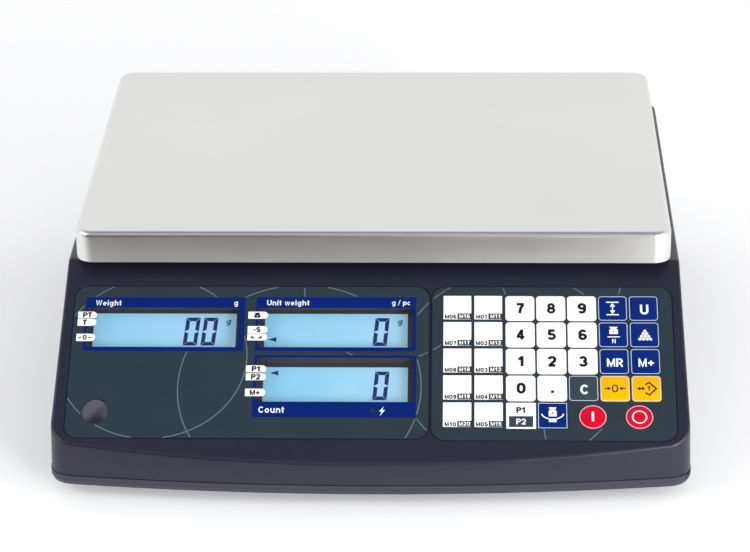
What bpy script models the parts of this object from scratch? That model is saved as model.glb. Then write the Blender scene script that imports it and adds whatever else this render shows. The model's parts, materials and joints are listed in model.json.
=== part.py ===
"""Counting scale: a stainless platter on a two-part plastic housing with a sloping front panel.

Units are metres, +Z is up and the front faces -Y. The origin is under the middle of the body, on the
surface that the feet stand on. Pieces of the front panel are placed in the panel's own frame: u runs to
the right along the panel's lower edge, v runs up the slope and w points out of the panel.
"""
import math

import bmesh
import bpy
from mathutils import Matrix, Vector

GAP = 0.0003  # clearance between pieces that touch

# Body
BODY_HALF_WIDTH = 0.1572
BODY_REAR = 0.1625
BODY_FRONT = 0.1625
FRONT_RADIUS = 1.15
FRONT_CORNER = 0.012
REAR_CORNER = 0.012
BASE_BOTTOM = 0.0062
BASE_EDGE = 0.003
SEAM = 0.012
DECK_TOP = 0.0862
DECK_DRAFT = 0.0023
WALL = 0.0025
PANEL_WALL = 0.004
FLOOR_TOP = 0.0088
LIP_TOP = 0.0165
EDGE_BEVEL = 0.0013
BOSS_OVERLAP = 0.001  # how far a boss or rib sinks into the wall it grows from
OVERSHOOT = 0.002  # how far a cutter passes the face it starts from
DEEP_CUT = 0.01
PLAN_ARC_STEPS = 18
CORNER_STEPS = 5

# Front panel: its lower edge lies at PANEL_ORIGIN and it rises to the deck at PANEL_SLOPE
PANEL_SLOPE = math.radians(31.4)
PANEL_ORIGIN = Vector((0.0, -0.1523, 0.0296))
OVERLAY_TOP = -0.0002
OVERLAY_SHEET = 0.0007
OVERLAY_POCKET = 0.0012
OVERLAY_MARGIN = 0.0005
OVERLAY_CORNER = 0.0065
DISPLAY_OVERLAY = (-0.1493, 0.0287, 0.0034, 0.0920)  # u low, u high, v low, v high
KEYPAD_OVERLAY = (0.0301, 0.1497, 0.0026, 0.0920)
CIRCUIT = (0.0325, 0.1473, 0.0050, 0.0896)
CIRCUIT_POCKET = 0.0027
CIRCUIT_SHEET = 0.0008

# Displays: the clear window over each, as (u low, u high, v low, v high), and the recess behind it
WINDOWS = {
    "lcd_weight": (-0.1420, -0.0662, 0.0560, 0.0793),
    "lcd_unit_weight": (-0.0566, 0.0206, 0.0560, 0.0793),
    "lcd_count": (-0.0563, 0.0211, 0.0243, 0.0499),
}
RECESS_MARGIN = 0.0004
RECESS_HEIGHT = 0.0264
RECESS_DEPTH = 0.0070
RECESS_RIM = 0.0012
RECESS_CORNER = 0.0008
LCD_SIZE = (0.0800, 0.0270, 0.0027)
DISPLAY_BOARD = (
    (-0.060, 0.022), (0.024, 0.022), (0.024, 0.083),
    (-0.146, 0.083), (-0.146, 0.052), (-0.060, 0.052),
)

# Keys
KEY_PITCH_U = 0.0154
KEY_PITCH_V = 0.01565
KEY_FIRST_U = 0.0739
KEY_FIRST_V = 0.0793
KEY_SIZE = (0.0145, 0.0147)
KEY_CORNER = 0.0018
PRESET_FIRST = (0.0427, 0.0798)
PRESET_PITCH_U = 0.0154
PRESET_SIZE = (0.0139, 0.0139)
SQUARE_CORNER = 0.0003
KEY_HEIGHT = 0.0009
KEY_CLEARANCE = 0.0002
ROUND_KEY_RADIUS = 0.00675
ROUND_KEY_V = 0.0160
KEY_ON_U = 0.1089
KEY_OFF_U = 0.1316

# Level well, with its axis upright
LEVEL_U = -0.1349
LEVEL_V = 0.0190
LEVEL_RADIUS = 0.00635
LEVEL_CUP_WALL = 0.0018
LEVEL_CUP_BOTTOM = 0.0185
LEVEL_CUP_SINK = 0.002
LEVEL_VIAL_BOTTOM = 0.0205
LEVEL_VIAL_HEIGHT = 0.0070

# Platter and its support
PLATTER_WIDTH = 0.300
PLATTER_DEPTH = 0.229
PLATTER_Y = 0.0455
PLATTER_TOP = 0.105
PLATTER_SKIRT = 0.0164
PLATTER_SHEET = 0.001
PLATTER_CORNER = 0.009
PLATTER_BEND = 0.0028
ARM_BOTTOM = 0.0902
ARM_TOP = 0.0982
ARM_WIDTH = 0.014
ARM_END = (0.122, 0.085)
CAP_RADIUS = 0.009
HUB_SIZE = (0.110, 0.060)
POST_X = 0.046
POST_SIZE = (0.030, 0.026)
POST_HOLE = (0.040, 0.036)

# Load cell and plate
CELL_SIZE = (0.130, 0.030, 0.036)
CELL_BOTTOM = 0.0215
CELL_HOLE_RADIUS = 0.0095
CELL_HOLE_OFFSET = 0.020
PLATE_SIZE = (0.190, 0.068)
PLATE_Y = 0.046
PLATE_BOTTOM = 0.0128
PLATE_TOP = 0.0168
PLATE_BOSS = (0.006, 0.010)  # radius, and distance in from the plate's corner
SEAT_SIZE = (0.030, 0.028)
SEAT_X = -0.047

# Feet
FOOT_PLACES = ((-0.128, -0.118), (0.128, -0.118), (-0.128, 0.138), (0.128, 0.138))
DISC_RADIUS = 0.015
DISC_TOP = 0.0057
DISC_BOTTOM = 0.0012
PAD_RADIUS = 0.012
PAD_TOP = 0.0025
STUD_RADIUS = 0.004
STUD_TOP = 0.026
BOSS_RADIUS = 0.008
BOSS_TOP = 0.024
KNURL_NOTCHES = 24
KNURL_DEPTH = 0.0005

# Battery and door
BATTERY_LOW = (-0.100, 0.084, 0.0118)
BATTERY_SIZE = (0.101, 0.070, 0.047)
BATTERY_PLAY = 0.0005
DOOR_LOW = (-0.105, 0.081)
DOOR_SIZE = (0.111, 0.0795)
DOOR_BOTTOM = 0.0064
DOOR_THICKNESS = 0.0020
BAY_FLOOR_TOP = 0.0112
BAY_FLOOR_MARGIN = 0.003
BAY_FLOOR_DEPTH = 0.0765

# Boards and inlet
BOARD_THICKNESS = 0.0016
MAIN_BOARD = (-0.075, 0.075, -0.115, -0.020)
MAIN_BOARD_BOTTOM = 0.0135
BOARD_POST_RADIUS = 0.003
BOARD_POST_INSET = 0.006
JACK_X = 0.110
JACK_Z = 0.024
JACK_BODY = (0.012, 0.012, 0.014)
JACK_BARREL_RADIUS = 0.0046
JACK_BORE_RADIUS = 0.0032
JACK_PIN_RADIUS = 0.001
JACK_DEPTH = 0.009
JACK_WALL = 0.1590  # where the inlet's body meets the inside of the rear wall
JACK_MOUTH = 0.1619


def linear(value):
    """One sRGB channel, 0 to 255, as a linear value."""
    share = value / 255
    return share / 12.92 if share <= 0.04045 else ((share + 0.055) / 1.055) ** 2.4


def material(name, red, green, blue, roughness, metallic=0.0):
    """A Principled material with one colour, given in sRGB."""
    made = bpy.data.materials.new(name)
    made.use_nodes = True
    shader = made.node_tree.nodes["Principled BSDF"]
    shader.inputs["Base Color"].default_value = (linear(red), linear(green), linear(blue), 1)
    shader.inputs["Roughness"].default_value = roughness
    shader.inputs["Metallic"].default_value = metallic
    return made


def new_object(name, bm, finish=None, parent=None, smooth_angle=35):
    """An object from a bmesh, with its faces pointing out and its round stretches smooth."""
    bmesh.ops.recalc_face_normals(bm, faces=bm.faces)
    mesh = bpy.data.meshes.new(name)
    bm.to_mesh(mesh)
    bm.free()
    mesh.shade_smooth()
    mesh.set_sharp_from_angle(angle=math.radians(smooth_angle))
    if finish:
        mesh.materials.append(finish)
    made = bpy.data.objects.new(name, mesh)
    bpy.context.scene.collection.objects.link(made)
    made.parent = parent
    return made


def arc(centre, radius, start, end, steps):
    """Points on an arc, both ends included."""
    angles = [start + (end - start) * i / steps for i in range(steps + 1)]
    return [(centre[0] + radius * math.cos(a), centre[1] + radius * math.sin(a)) for a in angles]


def rounded_rectangle(width, depth, radius, steps=CORNER_STEPS):
    """Plan of a rectangle with round corners, centred, anticlockwise."""
    points = []
    for index, (sx, sy) in enumerate(((1, 1), (-1, 1), (-1, -1), (1, -1))):
        centre = (sx * (width / 2 - radius), sy * (depth / 2 - radius))
        points += arc(centre, radius, index * math.pi / 2, (index + 1) * math.pi / 2, steps)
    return points


def circle(radius, steps):
    """Plan of a circle, anticlockwise."""
    return arc((0, 0), radius, 0, 2 * math.pi * (steps - 1) / steps, steps - 1)


def body_outline(inset):
    """Plan of the body with its bowed front, moved in by inset."""
    half_pi = math.pi / 2
    arc_centre = (0, FRONT_RADIUS - BODY_FRONT)
    corner_x = BODY_HALF_WIDTH - FRONT_CORNER
    corner_y = arc_centre[1] - math.sqrt((FRONT_RADIUS - FRONT_CORNER) ** 2 - corner_x ** 2)
    lean = math.atan2(corner_x, arc_centre[1] - corner_y)
    rear_x = BODY_HALF_WIDTH - REAR_CORNER
    rear_y = BODY_REAR - REAR_CORNER
    front = arc(arc_centre, FRONT_RADIUS - inset, -half_pi - lean, lean - half_pi, PLAN_ARC_STEPS)
    points = front[1:-1]
    points += arc((corner_x, corner_y), FRONT_CORNER - inset, lean - half_pi, 0, CORNER_STEPS)
    points += arc((rear_x, rear_y), REAR_CORNER - inset, 0, half_pi, CORNER_STEPS)
    points += arc((-rear_x, rear_y), REAR_CORNER - inset, half_pi, math.pi, CORNER_STEPS)
    points += arc((-corner_x, corner_y), FRONT_CORNER - inset, math.pi, 3 * half_pi - lean, CORNER_STEPS)
    return points


def add_loft(bm, rings):
    """Add a closed body through rings of (outline, z), capped at both ends."""
    loops = [[bm.verts.new((x, y, z)) for x, y in outline] for outline, z in rings]
    count = len(loops[0])
    faces = [bm.faces.new(list(reversed(loops[0]))), bm.faces.new(loops[-1])]
    for low, high in zip(loops, loops[1:]):
        for i in range(count):
            j = (i + 1) % count
            faces.append(bm.faces.new((low[i], low[j], high[j], high[i])))
    return faces


def moved(outline, centre):
    """An outline moved to a centre."""
    return [(x + centre[0], y + centre[1]) for x, y in outline]


def loft(name, rings, finish=None, parent=None):
    """A closed body through rings of (outline, z)."""
    bm = bmesh.new()
    add_loft(bm, rings)
    return new_object(name, bm, finish, parent)


def prism(name, outline, low, high, finish=None, parent=None):
    """A straight body on an outline from low to high."""
    return loft(name, [(outline, low), (outline, high)], finish, parent)


def block(name, low, size, finish=None, parent=None):
    """A box from its lowest corner and its size."""
    centre = (low[0] + size[0] / 2, low[1] + size[1] / 2)
    plan = [(size[0] / 2, size[1] / 2), (-size[0] / 2, size[1] / 2)]
    plan += [(-x, -y) for x, y in plan]
    return prism(name, moved(plan, centre), low[2], low[2] + size[2], finish, parent)


def boolean(target, tool, operation="DIFFERENCE"):
    """Join or cut target with a tool object, which isn't part of the model."""
    modifier = target.modifiers.new(tool.name, "BOOLEAN")
    modifier.operation = operation
    modifier.solver = "EXACT"
    modifier.object = tool
    tool.hide_render = True
    tool.display_type = "WIRE"


def panel_point(u, v, w=0.0):
    """World position of a point of the panel's frame."""
    return PANEL_ORIGIN + Matrix.Rotation(PANEL_SLOPE, 3, "X") @ Vector((u, v, w))


def panel_frame():
    """The empty that carries the pieces of the front panel."""
    empty = bpy.data.objects.new("panel_frame", None)
    empty.location = PANEL_ORIGIN
    empty.rotation_euler = (PANEL_SLOPE, 0, 0)
    bpy.context.scene.collection.objects.link(empty)
    return empty


def area_outline(area, radius, inset=0.0):
    """Rounded outline of an area given as (u low, u high, v low, v high)."""
    u_low, u_high, v_low, v_high = area
    plan = rounded_rectangle(u_high - u_low - 2 * inset, v_high - v_low - 2 * inset, radius)
    return moved(plan, ((u_low + u_high) / 2, (v_low + v_high) / 2))


def key_places():
    """Name, centre, size and corner radius of each rectangular key, by finish."""
    columns = [KEY_FIRST_U + i * KEY_PITCH_U for i in range(5)]
    rows = [KEY_FIRST_V - i * KEY_PITCH_V for i in range(5)]
    layout = (
        ("key_7", 0, 0, "key_white"), ("key_8", 1, 0, "key_white"), ("key_9", 2, 0, "key_white"),
        ("key_4", 0, 1, "key_white"), ("key_5", 1, 1, "key_white"), ("key_6", 2, 1, "key_white"),
        ("key_1", 0, 2, "key_white"), ("key_2", 1, 2, "key_white"), ("key_3", 2, 2, "key_white"),
        ("key_0", 0, 3, "key_white"), ("key_point", 1, 3, "key_white"), ("key_clear", 2, 3, "key_slate"),
        ("key_up_down", 3, 0, "key_blue"), ("key_units", 4, 0, "key_blue"),
        ("key_sample_weight", 3, 1, "key_blue"), ("key_sample_count", 4, 1, "key_blue"),
        ("key_memory_recall", 3, 2, "key_blue"), ("key_memory_add", 4, 2, "key_blue"),
        ("key_zero", 3, 3, "key_yellow"), ("key_tare", 4, 3, "key_yellow"),
        ("key_page", 0, 4, "key_white"), ("key_weighing", 1, 4, "key_blue"),
    )
    square = ("key_page", "key_weighing")
    places = []
    for name, column, row, finish in layout:
        radius = SQUARE_CORNER if name in square else KEY_CORNER
        places.append((name, (columns[column], rows[row]), KEY_SIZE, radius, finish))
    for number in range(1, 11):
        column = 1 if number <= 5 else 0
        row = (number - 1) % 5
        centre = (PRESET_FIRST[0] + column * PRESET_PITCH_U, PRESET_FIRST[1] - row * KEY_PITCH_V)
        places.append((f"key_preset_{number}", centre, PRESET_SIZE, SQUARE_CORNER, "key_white"))
    return places


def make_keys(panel, finishes):
    """The 34 keys, each with its origin at its centre."""
    low = OVERLAY_TOP - OVERLAY_SHEET
    meshes = {}
    for name, centre, size, radius, finish in key_places():
        kind = (size, radius, finish)
        if kind in meshes:
            key = bpy.data.objects.new(name, meshes[kind])
            bpy.context.scene.collection.objects.link(key)
            key.parent = panel
        else:
            outline = rounded_rectangle(*size, radius, 2)
            key = prism(name, outline, 0, KEY_HEIGHT, finishes[finish], panel)
            meshes[kind] = key.data
        key.location = (*centre, low)
    for name, u in (("key_on", KEY_ON_U), ("key_off", KEY_OFF_U)):
        key = prism(name, circle(ROUND_KEY_RADIUS, 24), 0, KEY_HEIGHT, finishes["key_red"], panel)
        key.location = (u, ROUND_KEY_V, low)


def make_keypad_overlay(panel, finish):
    """The right-hand printed sheet, with an opening around each key."""
    low = OVERLAY_TOP - OVERLAY_SHEET
    outline = area_outline(KEYPAD_OVERLAY, OVERLAY_CORNER)
    sheet = prism("keypad_overlay", outline, low, OVERLAY_TOP, finish, panel)
    bm = bmesh.new()
    for _, centre, size, radius, _ in key_places():
        wide = [side + 2 * KEY_CLEARANCE for side in size]
        hole = moved(rounded_rectangle(*wide, radius + KEY_CLEARANCE, 2), centre)
        add_loft(bm, [(hole, low - OVERSHOOT), (hole, OVERLAY_TOP + OVERSHOOT)])
    for u in (KEY_ON_U, KEY_OFF_U):
        hole = moved(circle(ROUND_KEY_RADIUS + KEY_CLEARANCE, 24), (u, ROUND_KEY_V))
        add_loft(bm, [(hole, low - OVERSHOOT), (hole, OVERLAY_TOP + OVERSHOOT)])
    boolean(sheet, new_object("cutter_key_openings", bm, None, panel))


def make_display_overlay(panel, finish):
    """The left-hand printed sheet, with its three windows and the opening of the level well."""
    low = OVERLAY_TOP - OVERLAY_SHEET
    outline = area_outline(DISPLAY_OVERLAY, OVERLAY_CORNER)
    sheet = prism("display_overlay", outline, low, OVERLAY_TOP, finish, panel)
    bm = bmesh.new()
    for window in WINDOWS.values():
        hole = area_outline(window, 0.0006)
        add_loft(bm, [(hole, low - OVERSHOOT), (hole, OVERLAY_TOP + OVERSHOOT)])
    boolean(sheet, new_object("cutter_windows", bm, None, panel))
    boolean(sheet, bpy.data.objects["cutter_level_well"])


def make_circuit(panel, finish):
    """The switch circuit under the keys."""
    low = -CIRCUIT_POCKET + GAP
    outline = area_outline(CIRCUIT, 0.003, 2 * GAP)
    prism("keypad_circuit", outline, low, low + CIRCUIT_SHEET, finish, panel)


def recess(window):
    """Area of the recess behind a window: a margin wider all round, and always of one height."""
    u_low, u_high, v_low, _ = window
    v_low -= RECESS_MARGIN
    return u_low - RECESS_MARGIN, u_high + RECESS_MARGIN, v_low, v_low + RECESS_HEIGHT


def make_displays(panel, glass, board):
    """The three LCD modules and the board behind them."""
    top = -RECESS_DEPTH - GAP
    bottom = top - LCD_SIZE[2]
    for name, window in WINDOWS.items():
        outline = rounded_rectangle(LCD_SIZE[0], LCD_SIZE[1], 0.0005, 1)
        module = prism(name, outline, bottom, top, glass, panel)
        u_low, u_high, v_low, v_high = recess(window)
        module.location = ((u_low + u_high) / 2, (v_low + v_high) / 2, 0)
    high = bottom - GAP
    prism("display_board", DISPLAY_BOARD, high - BOARD_THICKNESS, high, board, panel)


def body_solid(name, inset, low, high, depth):
    """The body's outer or inner form: its plan with draft, cut by the panel's plane moved in by depth."""
    def inset_at(z):
        return inset + DECK_DRAFT * (z - SEAM) / (DECK_TOP - SEAM)

    bm = bmesh.new()
    add_loft(bm, [(body_outline(inset_at(low)), low), (body_outline(inset_at(high)), high)])
    normal = Matrix.Rotation(PANEL_SLOPE, 3, "X") @ Vector((0, 0, 1))
    everything = bm.verts[:] + bm.edges[:] + bm.faces[:]
    point = panel_point(0, 0, -depth)
    bmesh.ops.bisect_plane(bm, geom=everything, plane_co=point, plane_no=normal, clear_outer=True)
    rim = [edge for edge in bm.edges if edge.is_boundary]
    bmesh.ops.edgeloop_fill(bm, edges=rim)
    bmesh.ops.recalc_face_normals(bm, faces=bm.faces)
    if depth == 0:
        tops = [f for f in bm.faces if f.normal.z > 0.7]
        edges = list({edge for face in tops for edge in face.edges})
        bmesh.ops.bevel(bm, geom=edges, offset=EDGE_BEVEL, segments=2, profile=0.5, affect="EDGES")
    return new_object(name, bm)


def upright(name, place, radius, low, high, steps=24):
    """An upright cylinder, used to join or cut."""
    return prism(name, moved(circle(radius, steps), place), low, high)


def level_cup(place):
    """The outside of the cup that holds the level, with its top on the slope of the panel."""
    outline = moved(circle(LEVEL_RADIUS + LEVEL_CUP_WALL, 24), place)
    bm = bmesh.new()
    low, high = [], []
    for x, y in outline:
        low.append(bm.verts.new((x, y, LEVEL_CUP_BOTTOM)))
        surface = PANEL_ORIGIN.z + (y - PANEL_ORIGIN.y) * math.tan(PANEL_SLOPE)
        high.append(bm.verts.new((x, y, surface - LEVEL_CUP_SINK)))
    bm.faces.new(list(reversed(low)))
    bm.faces.new(high)
    for i in range(len(outline)):
        j = (i + 1) % len(outline)
        bm.faces.new((low[i], low[j], high[j], high[i]))
    return new_object("tool_level_cup", bm)


def make_top_housing(panel, finish):
    """The upper shell: walls, deck and sloping panel, with its pockets, openings and level cup."""
    shell = body_solid("top_housing", GAP, SEAM + GAP, DECK_TOP, 0)
    shell.data.materials.append(finish)
    cavity = body_solid("cutter_cavity", GAP + WALL, SEAM - OVERSHOOT, DECK_TOP - WALL, PANEL_WALL)
    boolean(shell, cavity)
    place = panel_point(LEVEL_U, LEVEL_V)
    place = (place.x, place.y)
    boolean(shell, level_cup(place), "UNION")
    bm = bmesh.new()
    for window in WINDOWS.values():
        rim = area_outline(recess(window), RECESS_CORNER + RECESS_RIM, -RECESS_RIM)
        add_loft(bm, [(rim, -RECESS_DEPTH), (rim, -PANEL_WALL / 2)])
    boolean(shell, new_object("tool_recess_rims", bm, None, panel), "UNION")
    well_bottom = LEVEL_VIAL_BOTTOM - GAP
    boolean(shell, upright("cutter_level_well", place, LEVEL_RADIUS, well_bottom, DECK_TOP, 32))
    for name, area in (("display", DISPLAY_OVERLAY), ("keypad", KEYPAD_OVERLAY)):
        pocket = area_outline(area, OVERLAY_CORNER + OVERLAY_MARGIN, -OVERLAY_MARGIN)
        boolean(shell, prism(f"cutter_pocket_{name}", pocket, -OVERLAY_POCKET, DEEP_CUT, None, panel))
    pocket = area_outline(CIRCUIT, 0.003)
    boolean(shell, prism("cutter_pocket_circuit", pocket, -CIRCUIT_POCKET, DEEP_CUT, None, panel))
    bm = bmesh.new()
    for window in WINDOWS.values():
        hole = area_outline(recess(window), RECESS_CORNER)
        add_loft(bm, [(hole, -RECESS_DEPTH - OVERSHOOT), (hole, DEEP_CUT)])
    boolean(shell, new_object("cutter_lcd_openings", bm, None, panel))
    opening = moved(rounded_rectangle(*POST_HOLE, 0.006), (POST_X, PLATTER_Y))
    boolean(shell, prism("cutter_post_opening", opening, DECK_TOP - DEEP_CUT, DECK_TOP + DEEP_CUT))
    jack = prism("cutter_jack", circle(JACK_BARREL_RADIUS + GAP, 24), -DEEP_CUT, DEEP_CUT)
    jack.location = (JACK_X, BODY_REAR, JACK_Z)
    jack.rotation_euler = (math.pi / 2, 0, 0)
    boolean(shell, jack)


def make_base_housing(finish):
    """The lower tray, with its lip, foot bosses, plate bosses and battery bay."""
    inner = WALL + 2 * GAP
    rings = [
        (body_outline(BASE_EDGE), BASE_BOTTOM),
        (body_outline(BASE_EDGE * 0.3), BASE_BOTTOM + BASE_EDGE * 0.3),
        (body_outline(0), BASE_BOTTOM + BASE_EDGE),
        (body_outline(0), SEAM),
        (body_outline(inner), SEAM),
        (body_outline(inner), LIP_TOP),
        (body_outline(inner + 0.0015), LIP_TOP),
        (body_outline(inner + 0.0015), FLOOR_TOP),
    ]
    base = loft("base_housing", rings, finish)
    bm = bmesh.new()
    low = FLOOR_TOP - BOSS_OVERLAP
    for place in FOOT_PLACES:
        outline = moved(circle(BOSS_RADIUS, 20), place)
        add_loft(bm, [(outline, low), (outline, BOSS_TOP)])
    radius, inset = PLATE_BOSS
    for sx in (-1, 1):
        for sy in (-1, 1):
            place = (sx * (PLATE_SIZE[0] / 2 - inset), PLATE_Y + sy * (PLATE_SIZE[1] / 2 - inset))
            outline = moved(circle(radius, 12), place)
            add_loft(bm, [(outline, low), (outline, PLATE_BOTTOM - GAP)])
    for x, way_x in zip(MAIN_BOARD[:2], (1, -1)):
        for y, way_y in zip(MAIN_BOARD[2:], (1, -1)):
            place = (x + way_x * BOARD_POST_INSET, y + way_y * BOARD_POST_INSET)
            outline = moved(circle(BOARD_POST_RADIUS, 8), place)
            add_loft(bm, [(outline, low), (outline, MAIN_BOARD_BOTTOM - GAP)])
    boolean(base, new_object("tool_bosses", bm), "UNION")
    bay_low = (DOOR_LOW[0] - BAY_FLOOR_MARGIN, DOOR_LOW[1] - BAY_FLOOR_MARGIN, low)
    bay_size = (DOOR_SIZE[0] + 2 * BAY_FLOOR_MARGIN, BAY_FLOOR_DEPTH, BAY_FLOOR_TOP - low)
    boolean(base, block("tool_bay_floor", bay_low, bay_size), "UNION")
    bm = bmesh.new()
    for place in FOOT_PLACES:
        hole = moved(circle(STUD_RADIUS + GAP, 16), place)
        add_loft(bm, [(hole, BASE_BOTTOM - OVERSHOOT), (hole, BOSS_TOP + OVERSHOOT)])
    boolean(base, new_object("cutter_stud_holes", bm))
    low = BASE_BOTTOM - OVERSHOOT
    track_low = (DOOR_LOW[0] - GAP, DOOR_LOW[1] - GAP, low)
    track_size = (DOOR_SIZE[0] + 2 * GAP, BODY_REAR, DOOR_BOTTOM + DOOR_THICKNESS + GAP - low)
    boolean(base, block("cutter_door_track", track_low, track_size))
    bay_low = (BATTERY_LOW[0] - BATTERY_PLAY, BATTERY_LOW[1] - BATTERY_PLAY, low)
    bay_size = (BATTERY_SIZE[0] + 2 * BATTERY_PLAY, BATTERY_SIZE[1] + 2 * BATTERY_PLAY, DEEP_CUT)
    boolean(base, block("cutter_battery_bay", bay_low, bay_size))


def make_platter(finish):
    """The pressed tray: a flat top with a bend and a skirt all round."""
    skirt_bottom = PLATTER_TOP - PLATTER_SKIRT

    def ring(inset, z):
        radius = max(PLATTER_CORNER - inset, 0.003)
        return rounded_rectangle(PLATTER_WIDTH - 2 * inset, PLATTER_DEPTH - 2 * inset, radius, 5), z

    bend = [math.radians(a) for a in (0, 30, 60, 90)]
    rings = []
    for a in reversed(bend):
        rings.append(ring(PLATTER_BEND * (1 - math.cos(a)), PLATTER_TOP - PLATTER_BEND * (1 - math.sin(a))))
    rings.append(ring(0, skirt_bottom))
    rings.append(ring(PLATTER_SHEET, skirt_bottom))
    inner = PLATTER_BEND - PLATTER_SHEET
    for a in bend:
        z = PLATTER_TOP - PLATTER_BEND + inner * math.sin(a)
        rings.append(ring(PLATTER_BEND - inner * math.cos(a), z))
    platter = loft("platter", rings, finish)
    platter.location = (0, PLATTER_Y, 0)


def make_support(finish):
    """The cast cross under the platter, with its post down to the load cell."""
    hub = rounded_rectangle(*HUB_SIZE, 0.006, 2)
    support = prism("platter_support", hub, ARM_BOTTOM, ARM_TOP, finish)
    support.location = (0, PLATTER_Y, 0)
    length = math.hypot(*ARM_END)
    plan = rounded_rectangle(2 * length, ARM_WIDTH, 0.002, 1)
    for index, turn in enumerate((1, -1)):
        arm = prism(f"tool_arm_{index}", plan, ARM_BOTTOM, ARM_TOP)
        arm.location = (0, PLATTER_Y, 0)
        arm.rotation_euler = (0, 0, turn * math.atan2(ARM_END[1], ARM_END[0]))
        boolean(support, arm, "UNION")
    bm = bmesh.new()
    for sx in (-1, 1):
        for sy in (-1, 1):
            cap = moved(circle(CAP_RADIUS, 16), (sx * ARM_END[0], PLATTER_Y + sy * ARM_END[1]))
            add_loft(bm, [(cap, ARM_BOTTOM), (cap, PLATTER_TOP - PLATTER_SHEET - GAP)])
    boolean(support, new_object("tool_caps", bm), "UNION")
    post = moved(rounded_rectangle(*POST_SIZE, 0.003, 2), (POST_X, PLATTER_Y))
    low = CELL_BOTTOM + CELL_SIZE[2] + GAP
    boolean(support, prism("tool_post", post, low, (ARM_BOTTOM + ARM_TOP) / 2), "UNION")


def make_load_cell(finish):
    """The bending-beam load cell: a bar with two round holes joined by a slot."""
    low = (-CELL_SIZE[0] / 2, PLATTER_Y - CELL_SIZE[1] / 2, CELL_BOTTOM)
    cell = block("load_cell", low, CELL_SIZE, finish)
    bm = bmesh.new()
    top = arc((CELL_HOLE_OFFSET, 0), CELL_HOLE_RADIUS, -math.radians(150), math.radians(150), 14)
    outline = top + [(-x, -y) for x, y in top]
    add_loft(bm, [(outline, -CELL_SIZE[1]), (outline, CELL_SIZE[1])])
    hole = new_object("cutter_cell_hole", bm)
    hole.location = (0, PLATTER_Y, CELL_BOTTOM + CELL_SIZE[2] / 2)
    hole.rotation_euler = (math.pi / 2, 0, 0)
    boolean(cell, hole)


def make_mounting_plate(finish):
    """The steel plate under the load cell, with the raised seat that the cell is bolted to."""
    outline = moved(rounded_rectangle(*PLATE_SIZE, 0.005, 2), (0, PLATE_Y))
    plate = prism("mounting_plate", outline, PLATE_BOTTOM, PLATE_TOP, finish)
    width, depth = SEAT_SIZE
    low = (SEAT_X - width / 2, PLATTER_Y - depth / 2, PLATE_TOP - BOSS_OVERLAP)
    boolean(plate, block("tool_seat", low, (width, depth, CELL_BOTTOM - GAP - low[2])), "UNION")


def make_feet(steel, rubber):
    """Four screw feet: a knurled disc with its stud, and the rubber pad under it."""
    knurl = []
    for i in range(2 * KNURL_NOTCHES):
        radius = DISC_RADIUS if i % 2 else DISC_RADIUS - KNURL_DEPTH
        angle = math.pi * i / KNURL_NOTCHES
        knurl.append((radius * math.cos(angle), radius * math.sin(angle)))
    recess_top = PAD_TOP + GAP
    for number, place in enumerate(FOOT_PLACES, 1):
        screw = prism(f"foot_screw_{number}", knurl, DISC_BOTTOM, DISC_TOP, steel)
        screw.location = (*place, 0)
        stud = upright(f"tool_stud_{number}", place, STUD_RADIUS, DISC_TOP - BOSS_OVERLAP, STUD_TOP, 16)
        boolean(screw, stud, "UNION")
        boolean(screw, upright(f"cutter_recess_{number}", place, PAD_RADIUS + GAP, 0.0, recess_top, 20))
        pad = prism(f"foot_pad_{number}", circle(PAD_RADIUS, 20), 0, PAD_TOP, rubber)
        pad.location = (*place, 0)


def make_battery(case, finish):
    """The rechargeable battery and the sliding door under it."""
    block("battery", BATTERY_LOW, BATTERY_SIZE, case)
    low = (*DOOR_LOW, DOOR_BOTTOM)
    block("battery_door", low, (*DOOR_SIZE, DOOR_THICKNESS), finish)


def make_level_vial(finish):
    """The bubble level that stands in the cup under the panel."""
    place = panel_point(LEVEL_U, LEVEL_V)
    vial = prism("level_vial", circle(LEVEL_RADIUS - GAP, 24), 0, LEVEL_VIAL_HEIGHT, finish)
    vial.location = (place.x, place.y, LEVEL_VIAL_BOTTOM)


def make_jack(finish):
    """The power inlet: a square body with a barrel through the rear wall, a bore and its pin."""
    body = block(
        "power_jack",
        (JACK_X - JACK_BODY[0] / 2, JACK_WALL - JACK_BODY[2], JACK_Z - JACK_BODY[1] / 2),
        (JACK_BODY[0], JACK_BODY[2], JACK_BODY[1]),
        finish,
    )
    barrel = prism("tool_barrel", circle(JACK_BARREL_RADIUS, 20), 0, JACK_MOUTH - JACK_WALL + OVERSHOOT)
    barrel.location = (JACK_X, JACK_MOUTH, JACK_Z)
    barrel.rotation_euler = (math.pi / 2, 0, 0)
    boolean(body, barrel, "UNION")
    bore = prism("cutter_bore", circle(JACK_BORE_RADIUS, 20), -OVERSHOOT, JACK_DEPTH)
    bore.location = (JACK_X, JACK_MOUTH, JACK_Z)
    bore.rotation_euler = (math.pi / 2, 0, 0)
    boolean(body, bore)
    pin = prism("tool_pin", circle(JACK_PIN_RADIUS, 8), BOSS_OVERLAP, JACK_DEPTH + OVERSHOOT)
    pin.location = (JACK_X, JACK_MOUTH, JACK_Z)
    pin.rotation_euler = (math.pi / 2, 0, 0)
    boolean(body, pin, "UNION")


def make_main_board(finish):
    """The main circuit board on its posts."""
    u_low, u_high, v_low, v_high = MAIN_BOARD
    size = (u_high - u_low, v_high - v_low, BOARD_THICKNESS)
    block("main_board", (u_low, v_low, MAIN_BOARD_BOTTOM), size, finish)


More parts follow.
